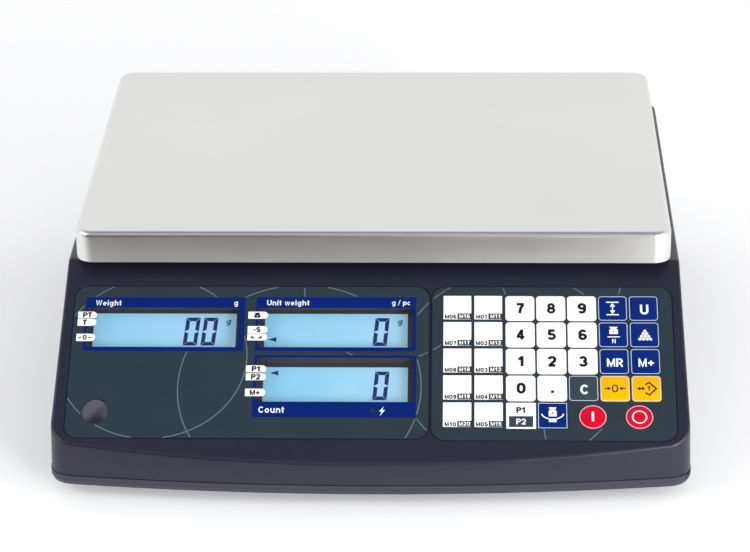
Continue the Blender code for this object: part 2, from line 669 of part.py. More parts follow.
def main():
    """Clear the scene and build the scale."""
    for old in list(bpy.data.objects):
        bpy.data.objects.remove(old, do_unlink=True)
    housing = material("housing_plastic", 50, 52, 64, 0.42)
    overlay = material("overlay_film", 45, 58, 66, 0.35)
    steel = material("stainless_sheet", 214, 216, 213, 0.30, 1.0)
    zinc = material("zinc_steel", 160, 160, 158, 0.35, 1.0)
    cast = material("cast_aluminium", 170, 172, 174, 0.45, 1.0)
    rubber = material("rubber", 28, 28, 30, 0.80)
    board = material("board_green", 30, 84, 52, 0.50)
    finishes = {
        "key_white": material("key_white", 240, 240, 238, 0.40),
        "key_blue": material("key_blue", 0, 34, 115, 0.40),
        "key_yellow": material("key_yellow", 250, 178, 20, 0.40),
        "key_slate": material("key_slate", 58, 70, 78, 0.40),
        "key_red": material("key_red", 210, 20, 50, 0.40),
    }
    panel = panel_frame()
    make_top_housing(panel, housing)
    make_base_housing(material("base_plastic", 75, 78, 87, 0.45))
    make_display_overlay(panel, overlay)
    make_keypad_overlay(panel, material("keypad_film", 45, 58, 66, 0.35))
    make_keys(panel, finishes)
    make_circuit(panel, material("circuit_film", 60, 110, 80, 0.50))
    make_displays(panel, material("lcd_glass", 158, 215, 243, 0.20), board)
    make_main_board(board)
    make_platter(steel)
    make_support(cast)
    make_load_cell(material("cell_aluminium", 196, 198, 202, 0.35, 1.0))
    make_mounting_plate(material("plate_steel", 120, 122, 124, 0.50, 1.0))
    make_feet(zinc, rubber)
    make_battery(material("battery_case", 34, 34, 38, 0.50), material("door_plastic", 70, 72, 80, 0.45))
    make_level_vial(material("vial_acrylic", 190, 205, 120, 0.10))
    make_jack(material("jack_plastic", 24, 24, 26, 0.50))


main()
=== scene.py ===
"""Looks of the counting scale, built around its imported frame.

Units are metres. Pieces of the front panel are drawn in the panel's own frame: u runs to the right along
its lower edge, v runs up the slope and w points out of it.
"""
import json
import math
import random

import bmesh
import bpy
from mathutils import Matrix, Vector


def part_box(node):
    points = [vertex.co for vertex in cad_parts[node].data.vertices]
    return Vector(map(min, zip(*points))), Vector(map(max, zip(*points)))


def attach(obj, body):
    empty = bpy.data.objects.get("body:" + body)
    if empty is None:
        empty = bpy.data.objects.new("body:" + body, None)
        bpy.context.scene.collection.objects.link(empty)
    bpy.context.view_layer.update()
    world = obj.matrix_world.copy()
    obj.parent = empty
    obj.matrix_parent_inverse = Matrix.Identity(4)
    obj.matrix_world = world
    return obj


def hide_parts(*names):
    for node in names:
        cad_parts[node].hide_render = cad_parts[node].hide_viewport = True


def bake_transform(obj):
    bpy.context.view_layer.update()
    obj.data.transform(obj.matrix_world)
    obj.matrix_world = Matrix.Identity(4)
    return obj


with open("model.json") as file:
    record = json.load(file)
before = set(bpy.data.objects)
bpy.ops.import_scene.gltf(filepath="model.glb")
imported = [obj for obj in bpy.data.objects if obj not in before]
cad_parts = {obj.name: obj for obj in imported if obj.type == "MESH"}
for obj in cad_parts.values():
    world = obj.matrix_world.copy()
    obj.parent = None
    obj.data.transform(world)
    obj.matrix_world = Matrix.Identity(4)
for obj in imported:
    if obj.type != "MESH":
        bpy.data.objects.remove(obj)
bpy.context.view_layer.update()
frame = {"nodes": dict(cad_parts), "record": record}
BODY_OF = {n: b for b, members in frame["record"]["behaviour"]["bodies"].items() for n in members}

PANEL_SLOPE = math.radians(31.4)
PANEL = Matrix.Translation((0.0, -0.1523, 0.0296)) @ Matrix.Rotation(PANEL_SLOPE, 4, "X")
SURFACE = -0.0002  # top of the printed sheets, in w
INK = 0.00003  # thickness of a printed layer
# Boxes on the panel are (u low, u high, v low, v high)
DISPLAY_OVERLAY = (-0.1493, 0.0287, 0.0034, 0.0920)
KEYPAD_OVERLAY = (0.0301, 0.1497, 0.0026, 0.0920)
OVERLAY_CORNER = 0.0065
WINDOWS = {
    "lcd_weight": (-0.1420, -0.0662, 0.0560, 0.0793),
    "lcd_unit_weight": (-0.0566, 0.0206, 0.0560, 0.0793),
    "lcd_count": (-0.0563, 0.0211, 0.0243, 0.0499),
}
LCD_MODULE = (0.0800, 0.0270)
LCD_LIT = (0.0718, 0.0236)
LCD_TOP = -0.0073
DIGIT_SIZE = (0.0071, 0.0166)
DIGIT_STROKE = 0.0021
DIGIT_GAP = 0.00014
DIGIT_PITCH = 0.00895
KEY_FIRST = (0.0739, 0.0793)
KEY_PITCH = (0.0154, 0.01565)
KEY_SIZE = (0.0145, 0.0147)
KEY_CORNER = 0.0018
PRESET_FIRST = (0.0427, 0.0798)
PRESET_PITCH_U = 0.0154
PRESET_SIZE = 0.0139
KEY_LOW = -0.0009
KEY_TOP = 0.0
ROUND_KEY = 0.00675
ROUND_KEYS = (("key_on", (0.1089, 0.0160)), ("key_off", (0.1316, 0.0160)))
KEY_FIELD = (0.0352, 0.1492, 0.0100, 0.0872)
LEVEL = (-0.1349, 0.0190)
LEVEL_WELL = 0.0066
LEVEL_OPENING = 0.0078  # half height of the level's hole in the printed sheet
PLATTER = (0.300, 0.229)
PLATTER_Y = 0.0455
CELL_BEND = ("root", "platter_support", (-0.031, PLATTER_Y, 0.0395), (0.030, PLATTER_Y, 0.0395))
PLATTER_TOP = 0.105
PLATTER_SKIRT = 0.0164
RECESS_HEIGHT = 0.0264
RECESS_MARGIN = 0.0004
RECESS_RIM = 0.0003
RECESS_START = 0.0011
RECESS_FLOOR = -0.0072
FOOT_PLACES = ((-0.128, -0.118), (0.128, -0.118), (-0.128, 0.138), (0.128, 0.138))
FOOT_RADIUS = 0.0150
FOOT_KNURLS = 36
FOOT_KNURL_DEPTH = 0.0005
STUD_RADIUS = 0.0040
STUD_ROOT = 0.00345
STUD_PITCH = 0.00125
JACK = (0.110, 0.1619, 0.024)
SCREW_PLACES = [(sx * 0.142, y) for sx in (-1, 1) for y in (-0.095, 0.030, 0.118)]
SCREW_BORE = 0.0036
SCREW_HEAD = 0.0031
SCREW_SEAT = 0.0082
CAP_PLACES = ((-0.122, -0.085), (0.122, -0.085), (-0.122, 0.085), (0.122, 0.085))
CAMERA_PLACE = (0.0445, -1.4260, 0.7039)
CAMERA_TURN = (0.03192, 0.42993, -0.01140)  # yaw, pitch and roll
CAMERA_LENS = 142.31


# ---- materials


def linear(value):
    """One sRGB channel, 0 to 255, as a linear value."""
    share = value / 255
    return share / 12.92 if share <= 0.04045 else ((share + 0.055) / 1.055) ** 2.4


def colour(rgb, factor=1.0):
    """A linear colour from sRGB, scaled."""
    return tuple(min(1.0, linear(c) * factor) for c in rgb) + (1.0,)


class Look:
    """A Principled material under construction, with its coordinates in metres."""

    def __init__(self, name, roughness, metallic=0.0, specular=0.5):
        self.material = bpy.data.materials.new(name)
        self.material.use_nodes = True
        self.tree = self.material.node_tree
        self.shader = self.tree.nodes["Principled BSDF"]
        self.shader.inputs["Roughness"].default_value = roughness
        self.shader.inputs["Metallic"].default_value = metallic
        self.shader.inputs["Specular IOR Level"].default_value = specular
        self.place = self.tree.nodes.new("ShaderNodeTexCoord").outputs["Object"]

    def node(self, kind, **inputs):
        """A new node with some inputs set or linked."""
        made = self.tree.nodes.new(kind)
        for key, value in inputs.items():
            self.feed(made.inputs[key.replace("_", " ")], value)
        return made

    def feed(self, socket, value):
        """Link an output to a socket, or set the socket's value."""
        if isinstance(value, bpy.types.NodeSocket):
            self.tree.links.new(value, socket)
        else:
            socket.default_value = value

    def noise(self, scale, detail=3.0, stretch=None, roughness=0.55):
        """Noise with a number of waves to the metre."""
        vector = self.place
        if stretch:
            vector = self.node("ShaderNodeMapping", Vector=vector, Scale=stretch).outputs[0]
        made = self.node("ShaderNodeTexNoise", Vector=vector, Scale=scale, Detail=detail, Roughness=roughness)
        return made.outputs["Fac"]

    def spread(self, value, low, high, from_low=0.3, from_high=0.7):
        """A value carried from one range to another, without passing its ends."""
        made = self.node("ShaderNodeMapRange", Value=value)
        numbers = {"From Min": from_low, "From Max": from_high, "To Min": low, "To Max": high}
        for key, number in numbers.items():
            made.inputs[key].default_value = number
        return made.outputs[0]

    def mixed(self, share, first, second):
        """Two colours mixed."""
        made = self.tree.nodes.new("ShaderNodeMix")
        made.data_type = "RGBA"
        self.feed(made.inputs[0], share)
        self.feed(made.inputs[6], first)
        self.feed(made.inputs[7], second)
        return made.outputs[2]

    def shades(self, value, rgb, dark, pale):
        """A colour that varies between two strengths of itself."""
        return self.mixed(self.spread(value, 0.0, 1.0), colour(rgb, dark), colour(rgb, pale))

    def wear(self, value):
        self.feed(self.shader.inputs["Base Color"], value)

    def rough(self, value, low, high):
        self.feed(self.shader.inputs["Roughness"], self.spread(value, low, high))

    def relief(self, height, depth):
        made = self.node("ShaderNodeBump", Height=height, Strength=1.0, Distance=depth)
        self.feed(self.shader.inputs["Normal"], made.outputs[0])

    def glow(self, value, strength):
        self.feed(self.shader.inputs["Emission Color"], value)
        self.shader.inputs["Emission Strength"].default_value = strength

    def worked(self, kind, first, second, third=None):
        """Result of one step of arithmetic."""
        made = self.tree.nodes.new("ShaderNodeMath")
        made.operation = kind
        for index, value in enumerate((first, second, third)):
            if value is not None:
                self.feed(made.inputs[index], value)
        return made.outputs[0]


def moulded(name, rgb, rough=(0.34, 0.46), specular=0.5, vary=0.10):
    """Moulded plastic with a fine spark texture, faint clouds and scuffs, and slightly uneven gloss."""
    look = Look(name, rough[0], specular=specular)
    scuffs = look.noise(150.0, 5.0, None, 0.6)
    base = look.shades(look.noise(16.0, 4.0), rgb, 1 - vary, 1 + vary)
    look.wear(look.mixed(look.spread(scuffs, 0.0, 0.035, 0.60, 0.82), base, colour(rgb, 1.7)))
    look.rough(scuffs, *rough)
    look.relief(look.noise(900.0, 2.0), 0.00002)
    return look.material


def printed(name, rgb, rough=(0.30, 0.40), vary=0.05, specular=0.4):
    """Ink on satin film: nearly even, with a fine grain in its gloss."""
    look = Look(name, rough[0], specular=specular)
    grain = look.noise(2200.0, 2.0)
    look.wear(look.shades(look.noise(45.0, 3.0), rgb, 1 - vary, 1 + vary))
    look.rough(grain, *rough)
    look.relief(grain, 0.000004)
    return look.material


def brushed(name, rgb, rough=(0.24, 0.34), stretch=(12.0, 1600.0, 1600.0), depth=0.0000015, vary=0.05):
    """Brushed metal with streaks along one axis and faint handling marks."""
    look = Look(name, rough[0], metallic=1.0)
    streaks = look.noise(1.0, 3.0, stretch, 0.6)
    marks = look.noise(9.0, 5.0, None, 0.6)
    base = look.shades(streaks, rgb, 1 - vary, 1 + vary)
    look.wear(look.mixed(look.spread(marks, 0.0, 0.12, 0.5, 0.8), base, colour(rgb, 0.86)))
    gloss = look.worked("ADD", look.spread(streaks, *rough), look.spread(marks, -0.02, 0.04))
    look.feed(look.shader.inputs["Roughness"], gloss)
    look.relief(streaks, depth)
    return look.material


def plated(name, rgb):
    """Zinc plated steel: soft spangle and dull patches."""
    look = Look(name, 0.28, metallic=1.0)
    look.wear(look.shades(look.noise(160.0, 4.0), rgb, 0.82, 1.12))
    look.rough(look.noise(420.0), 0.28, 0.42)
    look.relief(look.noise(1500.0, 2.0), 0.00001)
    return look.material


def cast(name, rgb):
    """Die cast aluminium with a pebbled skin."""
    look = Look(name, 0.45, metallic=1.0)
    skin = look.noise(700.0, 4.0)
    look.wear(look.shades(look.noise(40.0), rgb, 0.85, 1.08))
    look.rough(skin, 0.38, 0.55)
    look.relief(skin, 0.00006)
    return look.material


def rubbery(name, rgb):
    """Black rubber with a dusty bloom."""
    look = Look(name, 0.75, specular=0.3)
    bloom = look.noise(220.0, 5.0)
    look.wear(look.shades(bloom, rgb, 1.0, 1.9))
    look.rough(bloom, 0.62, 0.86)
    look.relief(look.noise(1600.0, 2.0), 0.00003)
    return look.material


def circuit_board(name, rgb):
    """Solder mask over fine copper tracks."""
    look = Look(name, 0.35)
    tracks = look.node("ShaderNodeTexBrick", Vector=look.place, Scale=160.0, Mortar_Size=0.03)
    for key, value in (("Color1", colour(rgb)), ("Color2", colour(rgb, 1.25)), ("Mortar", colour(rgb, 2.2))):
        tracks.inputs[key].default_value = value
    look.wear(look.mixed(look.spread(look.noise(60.0), 0.0, 0.4), tracks.outputs[0], colour(rgb, 0.7)))
    look.rough(look.noise(300.0), 0.28, 0.42)
    look.relief(tracks.outputs["Fac"], 0.00003)
    return look.material


def lit_glass(name):
    """Lit display: each of the three is paler towards its right end."""
    look = Look(name, 0.16)
    across = look.node("ShaderNodeSeparateXYZ", Vector=look.place).outputs["X"]
    cloud = look.noise(30.0, 2.0)
    last, first = 0.0224, -0.0630  # the left display repeats the range of the other two
    share = look.spread(look.worked("WRAP", across, last, first), 0.0, 1.0, -0.0560, 0.0190)
    tint = look.mixed(share, colour((121, 182, 213)), colour((143, 190, 214)))
    tint = look.mixed(look.spread(cloud, 0.0, 0.10), tint, colour((205, 238, 250)))
    look.wear(tint)
    look.glow(tint, 0.40)
    look.rough(cloud, 0.14, 0.20)
    return look.material


def clear_film(name):
    """Clear window: mostly open, with a faint reflection."""
    look = Look(name, 0.06)
    look.wear(look.mixed(look.noise(60.0), (0.10, 0.11, 0.13, 1), (0.16, 0.17, 0.19, 1)))
    look.shader.inputs["Alpha"].default_value = 0.05
    look.rough(look.noise(200.0), 0.05, 0.12)
    return look.material


def level_fluid(name):
    """Green-yellow level fluid behind clear acrylic."""
    look = Look(name, 0.08)
    look.wear(look.mixed(look.noise(150.0), colour((190, 205, 90)), colour((214, 226, 130))))
    look.rough(look.noise(300.0), 0.05, 0.12)
    look.shader.inputs["Coat Weight"].default_value = 0.6
    return look.material


def floor_look():
    """Plain pale floor."""
    look = Look("floor_matte", 0.8, specular=0.1)
    cloud = look.spread(look.noise(3.0), 0.0, 1.0)
    look.wear(look.mixed(cloud, (0.93, 0.93, 0.935, 1), (0.95, 0.95, 0.95, 1)))
    look.glow((1, 1, 1, 1), 0.20)
    return look.material


M = {
    "housing": moulded("housing_satin", (26, 28, 44), rough=(0.33, 0.40), vary=0.05),
    # Painted light: the shell's faces inside the level's well take this lighter grey in place of the light
    # that falls into the well
    "well": moulded("level_well_painted_light", (92, 92, 106), rough=(0.34, 0.44), vary=0.04),
    "base": moulded("base_satin", (44, 47, 60), rough=(0.39, 0.46), vary=0.05),
    "overlay": printed("overlay_film_print", (33, 47, 56), rough=(0.34, 0.44), vary=0.07),
    "arc": printed("print_pale_slate", (92, 108, 116)),
    "frame": printed("print_blue", (0, 30, 104), specular=0.15),
    "white": printed("print_white", (246, 247, 246)),
    "black": printed("print_black", (12, 12, 14)),
    "key_white": printed("keycap_white", (246, 247, 246), rough=(0.36, 0.46), vary=0.02),
    "key_blue": printed("keycap_blue", (0, 34, 108), specular=0.15),
    "key_yellow": printed("keycap_yellow", (246, 172, 0), specular=0.15),
    "key_slate": printed("keycap_slate", (47, 60, 68)),
    "key_red": printed("keycap_red", (200, 4, 38), specular=0.15),
    "outline": printed("print_pale_outline", (186, 196, 214)),
    "steel": brushed("stainless_brushed", (228, 229, 226), rough=(0.28, 0.32), depth=0.00000015, vary=0.012),
    "flag": printed("studio_flag", (86, 74, 72), rough=(0.8, 0.9), specular=0.0),
    "cast": cast("cast_skin", (170, 172, 174)),
    "cell": brushed("cell_machined", (200, 202, 206), rough=(0.22, 0.34), stretch=(900.0, 14.0, 900.0)),
    "plate": plated("plate_zinc", (126, 128, 132)),
    "foot": plated("foot_zinc", (172, 172, 168)),
    "screw": plated("screw_zinc", (150, 150, 148)),
    "rubber": rubbery("rubber_black", (26, 26, 28)),
    "board": circuit_board("board_mask", (24, 78, 46)),
    "circuit": circuit_board("circuit_ink", (70, 112, 88)),
    "glass": lit_glass("display_lit"),
    # Own brownish grey of the display modules' rims; on the shell's recess walls the same tone is painted
    # light, lighter than the shell
    "bezel": moulded("display_bezel_and_recess_light", (54, 47, 47), rough=(0.5, 0.6), specular=0.3),
    "segment": printed("display_segment", (20, 30, 112), rough=(0.2, 0.3)),
    "battery": moulded("battery_case_black", (34, 34, 38)),
    "fluid": level_fluid("level_fluid"),
    "film": clear_film("window_clear"),
    "jack": moulded("inlet_black", (24, 24, 26), rough=(0.35, 0.5)),
    "pin": brushed("inlet_pin_metal", (200, 196, 186)),
    "lamp": moulded("charge_lamp", (38, 40, 42), rough=(0.15, 0.25)),
}


# ---- mesh tools


def arc(centre, radius, start, end, steps):
    """Points on an arc, both ends included."""
    angles = [start + (end - start) * i / steps for i in range(steps + 1)]
    return [(centre[0] + radius * math.cos(a), centre[1] + radius * math.sin(a)) for a in angles]


def rounded(width, depth, radius, steps=8):
    """Outline of a rectangle with round corners, centred."""
    points = []
    for index, (sx, sy) in enumerate(((1, 1), (-1, 1), (-1, -1), (1, -1))):
        centre = (sx * (width / 2 - radius), sy * (depth / 2 - radius))
        points += arc(centre, radius, index * math.pi / 2, (index + 1) * math.pi / 2, steps)
    return points


def circle(radius, steps=32):
    """Outline of a circle, anticlockwise."""
    return arc((0, 0), radius, 0, 2 * math.pi * (steps - 1) / steps, steps - 1)


def moved(outline, centre):
    """An outline moved to a centre."""
    return [(x + centre[0], y + centre[1]) for x, y in outline]


def area(box, radius, inset=0.0):
    """Rounded outline of a box (u low, u high, v low, v high)."""
    plan = rounded(box[1] - box[0] - 2 * inset, box[3] - box[2] - 2 * inset, radius)
    return moved(plan, ((box[0] + box[1]) / 2, (box[2] + box[3]) / 2))


def loft(bm, rings, ink=0):
    """Closed body through rings of (outline, height)."""
    loops = [[bm.verts.new((x, y, z)) for x, y in outline] for outline, z in rings]
    faces = [bm.faces.new(list(reversed(loops[0]))), bm.faces.new(loops[-1])]
    for low, high in zip(loops, loops[1:]):
        for i in range(len(low)):
            j = (i + 1) % len(low)
            faces.append(bm.faces.new((low[i], low[j], high[j], high[i])))
    for face in faces:
        face.material_index = ink
    return faces


def turned(bm, profile, steps=48, ink=0, centre=(0, 0)):
    """Turned solid about an upright axis, through (radius, height) pairs; ends at radius 0 close it."""
    rings = []
    for radius, z in profile:
        if radius < 1e-7:
            rings.append([bm.verts.new((centre[0], centre[1], z))])
        else:
            rings.append([bm.verts.new((x, y, z)) for x, y in moved(circle(radius, steps), centre)])
    for low, high in zip(rings, rings[1:]):
        for i in range(steps):
            j = (i + 1) % steps
            corners = [low[i % len(low)], low[j % len(low)], high[j % len(high)], high[i % len(high)]]
            corners = list(dict.fromkeys(corners))
            if len(corners) > 2:
                bm.faces.new(corners).material_index = ink


def centre_of(low, high):
    """Middle of a box in plan."""
    return (low.x + high.x) / 2, (low.y + high.y) / 2


def moulding(bm, low, high, corner, rings):
    """Upright block on a box's plan with round corners, through rings of (inset, height)."""
    size = high - low
    outlines = [rounded(size.x - 2 * i, size.y - 2 * i, corner - i, 4) for i, z in rings]
    loft(bm, [(moved(line, centre_of(low, high)), z) for line, (i, z) in zip(outlines, rings)])


def flat(bm, outline, low, high, ink=0):
    """Thin prism on an outline."""
    return loft(bm, [(outline, low), (outline, high)], ink)


def band(bm, outer, inner, low, high, ink=0):
    """Thin ring between two outlines with the same number of points."""
    rows = [[bm.verts.new((x, y, z)) for x, y in line] for line in (outer, inner) for z in (low, high)]
    order = (rows[0], rows[1], rows[3], rows[2])
    count = len(outer)
    for first, second in zip(order, order[1:] + order[:1]):
        for i in range(count):
            j = (i + 1) % count
            bm.faces.new((first[i], first[j], second[j], second[i])).material_index = ink


def strip(bm, line, width, low, high, ink=0):
    """Thin ribbon of a width along an open line."""
    left, right = [], []
    for i, point in enumerate(line):
        before, after = line[max(i - 1, 0)], line[min(i + 1, len(line) - 1)]
        run = Vector((after[0] - before[0], after[1] - before[1])).normalized() * (width / 2)
        left.append((point[0] - run.y, point[1] + run.x))
        right.append((point[0] + run.y, point[1] - run.x))
    flat(bm, right + left[::-1], low, high, ink)


def bow(x, y, rx, ry, start, end, steps=14):
    """Part of an ellipse as points, angles in degrees."""
    turn = arc((0, 0), 1, math.radians(start), math.radians(end), steps)
    return [(x + rx * px, y + ry * py) for px, py in turn]


def ribbon(bm, line, width, low, high, ink, closed):
    """Thin ribbon along a line, with mitred corners."""
    left, right = [], []
    count = len(line)
    for i in range(count):
        before = line[i - 1] if closed or i else line[0]
        after = line[(i + 1) % count] if closed or i < count - 1 else line[i]
        first = Vector((line[i][0] - before[0], line[i][1] - before[1]))
        second = Vector((after[0] - line[i][0], after[1] - line[i][1]))
        first = first.normalized() if first.length > 1e-9 else second.normalized()
        second = second.normalized() if second.length > 1e-9 else first
        run = (first + second).normalized()
        reach = min(width / 2 / max(run.dot(first), 0.3), width * 1.2)
        left.append((line[i][0] - run.y * reach, line[i][1] + run.x * reach))
        right.append((line[i][0] + run.y * reach, line[i][1] - run.x * reach))
    if closed:
        band(bm, left, right, low, high, ink)
        return
    rows = [[[bm.verts.new((x, y, z)) for x, y in side] for z in (low, high)] for side in (left, right)]
    for i in range(count - 1):
        a, b, c, d = rows[0][0], rows[0][1], rows[1][0], rows[1][1]
        for one, two in ((a, b), (b, d), (d, c), (c, a)):
            bm.faces.new((one[i], one[i + 1], two[i + 1], two[i])).material_index = ink
    for i in (0, count - 1):
        bm.faces.new((rows[0][0][i], rows[0][1][i], rows[1][1][i], rows[1][0][i])).material_index = ink


def bowl(x, y, rx, ry):
    """A closed round stroke."""
    return bow(x, y, rx, ry, 0, 345, 23) + ["closed"]


STEM = [(0.095, 0), (0.095, 1)]
ARCH = bow(0.31, 0.42, 0.21, 0.21, 180, 0)
TAIL = bow(0.31, -0.03, 0.22, 0.155, 0, -150)
FLICK = bow(0.27, 0.20, 0.11, 0.11, 180, 290)
CUP = bow(0.305, 0.31, 0.21, 0.22, 180, 360)
HEAD = [(0.095, 0.905), (0.38, 0.905)] + bow(0.38, 0.69, 0.22, 0.215, 90, -90) + [(0.095, 0.475)]
NOUGHT = bow(0.34, 0.62, 0.245, 0.285, 0, 180) + bow(0.34, 0.38, 0.245, 0.285, 180, 360) + ["closed"]
SIX = (bowl(0.34, 0.305, 0.24, 0.21), bow(0.36, 0.50, 0.265, 0.405, 182, 40))
NINE = tuple([(0.68 - q[0], 1 - q[1]) if q != "closed" else q for q in line] for line in SIX)
# Each sign: width, then strokes on a capital height of one
STROKES = {
    "0": (0.68, NOUGHT),
    "1": (0.56, [(0.38, 0), (0.38, 1)], [(0.36, 0.90), (0.25, 0.76), (0.07, 0.69)]),
    "2": (0.68, bow(0.34, 0.67, 0.24, 0.235, 172, -35) + [(0.15, 0.12)], [(0.03, 0.095), (0.62, 0.095)]),
    "3": (0.68, bow(0.32, 0.70, 0.215, 0.205, 165, -88), bow(0.32, 0.295, 0.25, 0.20, 88, -165)),
    "4": (0.68, [(0.45, 0), (0.45, 1)], [(0.43, 0.93), (0.10, 0.30)], [(0.02, 0.28), (0.66, 0.28)]),
    "5": (0.68, [(0.60, 0.905), (0.19, 0.905), (0.13, 0.47)], bow(0.33, 0.325, 0.25, 0.23, 138, -158)),
    "6": (0.68,) + SIX,
    "7": (0.68, [(0.04, 0.905), (0.64, 0.905)], [(0.57, 0.86), (0.38, 0.52), (0.28, 0)]),
    "8": (0.68, bowl(0.34, 0.71, 0.20, 0.195), bowl(0.34, 0.295, 0.245, 0.20)),
    "9": (0.68,) + NINE,
    "C": (0.74, bow(0.385, 0.5, 0.285, 0.405, 38, 322, 22)),
    "M": (0.86, [(0.09, 0), (0.09, 1)], [(0.77, 0), (0.77, 1)], [(0.12, 0.93), (0.43, 0.08), (0.74, 0.93)]),
    "N": (0.72, STEM, [(0.625, 0), (0.625, 1)], [(0.12, 0.93), (0.60, 0.07)]),
    "P": (0.66, STEM, HEAD),
    "R": (0.72, STEM, HEAD, [(0.36, 0.44), (0.62, 0)]),
    "S": (0.66, bow(0.33, 0.70, 0.225, 0.205, 22, 268), bow(0.33, 0.295, 0.235, 0.20, 92, -160)),
    "T": (0.66, [(0, 0.905), (0.66, 0.905)], [(0.33, 0), (0.33, 0.9)]),
    "U": (0.72, [(0.095, 1), (0.095, 0.36)] + bow(0.36, 0.36, 0.265, 0.265, 180, 360) + [(0.625, 1)]),
    "W": (0.98, [(0.07, 1), (0.27, 0.06), (0.49, 0.94), (0.71, 0.06), (0.91, 1)]),
    "c": (0.56, bow(0.30, 0.36, 0.205, 0.27, 48, 312, 18)),
    "e": (0.60, bow(0.30, 0.36, 0.21, 0.27, 0, 318, 20), [(0.12, 0.36), (0.51, 0.36)]),
    "g": (0.64, bowl(0.29, 0.37, 0.20, 0.265), [(0.53, 0.73), (0.53, 0)] + TAIL),
    "h": (0.62, STEM, ARCH + [(0.52, 0)]),
    "i": (0.19, [(0.095, 0), (0.095, 0.73)], [(0.095, 0.82), (0.095, 1)]),
    "n": (0.62, [(0.095, 0), (0.095, 0.73)], ARCH + [(0.52, 0)]),
    "o": (0.62, bowl(0.31, 0.36, 0.215, 0.27)),
    "p": (0.64, bowl(0.35, 0.37, 0.20, 0.265), [(0.105, -0.27), (0.105, 0.73)]),
    "t": (0.38, [(0.16, 0.95), (0.16, 0.20)] + FLICK, [(0, 0.65), (0.36, 0.65)]),
    "u": (0.62, [(0.095, 0.73), (0.095, 0.31)] + CUP, [(0.52, 0), (0.52, 0.73)]),
    "w": (0.80, [(0.06, 0.73), (0.22, 0.05), (0.40, 0.68), (0.58, 0.05), (0.74, 0.73)]),
    "+": (0.66, [(0.03, 0.44), (0.63, 0.44)], [(0.33, 0.14), (0.33, 0.74)]),
    "-": (0.40, [(0.03, 0.42), (0.37, 0.42)]),
    ".": (0.20, [(0.10, 0.04), (0.10, 0.29)]),
    "/": (0.36, [(0.02, -0.05), (0.34, 1.05)]),
    " ": (0.22,),
}
# Share of the stroke's weight in crowded signs
THINNER = {
    "w": 0.84, "M": 0.80, "N": 0.9, "W": 0.84, "4": 0.9, "8": 0.92, "e": 0.84, "g": 0.88, "+": 0.92, "/": 0.6,
    "R": 0.95,
}


def letter(bm, words, height, place, low, high, ink=0, weight=0.19, align=0.5, slant=0.0, space=0.10):
    """Raised lettering with capitals of a height; align 0 starts at place, 0.5 centres, 1 ends there."""
    length = sum(STROKES[sign][0] + space for sign in words) - space
    start = -length * align
    for sign in words:
        wide, *strokes = STROKES[sign]
        for line in strokes:
            closed = line[-1] == "closed"
            spots = []
            for x, y in line[:-1] if closed else line:
                rise = (y - 0.5) * height
                spots.append((place[0] + (start + x) * height + rise * slant, place[1] + rise))
            ribbon(bm, spots, weight * THINNER.get(sign, 1.0) * height, low, high, ink, closed)
        start += wide + space


def linked(name, data):
    """A new object in the scene."""
    made = bpy.data.objects.new(name, data)
    bpy.context.scene.collection.objects.link(made)
    return made


def piece(name, bm, looks, body="root", replaces=None, where=None, angle=35, weigh=True, recalc=True):
    """Finish a bmesh as a piece that rides on a body; given anything but a body's name, it stays where it is,
    unattached.
    """
    if recalc:
        bmesh.ops.recalc_face_normals(bm, faces=bm.faces)
    if where is not None:
        bm.transform(where)
    mesh = bpy.data.meshes.new(name)
    bm.to_mesh(mesh)
    bm.free()
    mesh.shade_smooth()
    mesh.set_sharp_from_angle(angle=math.radians(angle))
    for key in looks:
        mesh.materials.append(M[key])
    made = linked(name, mesh)
    if weigh:
        modifier = made.modifiers.new("even_normals", "WEIGHTED_NORMAL")
        modifier.keep_sharp = True
        modifier.weight = 60
    if isinstance(body, str):
        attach(made, body)
    else:
        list(body)
        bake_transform(made)
    if replaces:
        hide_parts(replaces)


def cad_mesh(node):
    """A welded copy of a CAD node's mesh, as a bmesh."""
    bm = bmesh.new()
    bm.from_mesh(frame["nodes"][node].data)
    for layer in list(bm.loops.layers.float_vector.values()) + list(bm.loops.layers.uv.values()):
        try:
            bm.loops.layers.float_vector.remove(layer)
        except (TypeError, ReferenceError, AttributeError):
            pass
    bmesh.ops.remove_doubles(bm, verts=bm.verts, dist=1e-6)
    bmesh.ops.dissolve_limit(bm, angle_limit=math.radians(0.4), verts=bm.verts, edges=bm.edges)
    for face in bm.faces:
        face.material_index = 0
    return bm


def cut(bm, tool):
    """The mesh of bm cut by another bmesh, all in its first material."""
    objects = []
    for part in (bm, tool):
        bmesh.ops.recalc_face_normals(part, faces=part.faces)
        mesh = bpy.data.meshes.new("working")
        part.to_mesh(mesh)
        part.free()
        objects.append(linked("working", mesh))
    modifier = objects[0].modifiers.new("cut", "BOOLEAN")
    modifier.operation = "DIFFERENCE"
    modifier.solver = "EXACT"
    modifier.object = objects[1]
    bpy.context.view_layer.update()
    evaluated = objects[0].evaluated_get(bpy.context.evaluated_depsgraph_get())
    mesh = bpy.data.meshes.new_from_object(evaluated)
    result = bmesh.new()
    result.from_mesh(mesh)
    bpy.data.meshes.remove(mesh)
    for made in objects:
        data = made.data
        bpy.data.objects.remove(made)
        bpy.data.meshes.remove(data)
    for face in result.faces:
        face.material_index = 0
    return result


# ---- housings


def inside(point, box, margin=0.0):
    """True if a point lies in a box, with a margin all round."""
    return box[0] - margin < point[0] < box[1] + margin and box[2] - margin < point[1] < box[3] + margin


def recess(window):
    """Area of the recess behind a display's window."""
    low = window[2] - RECESS_MARGIN
    return window[0] - RECESS_MARGIN, window[1] + RECESS_MARGIN, low, low + RECESS_HEIGHT


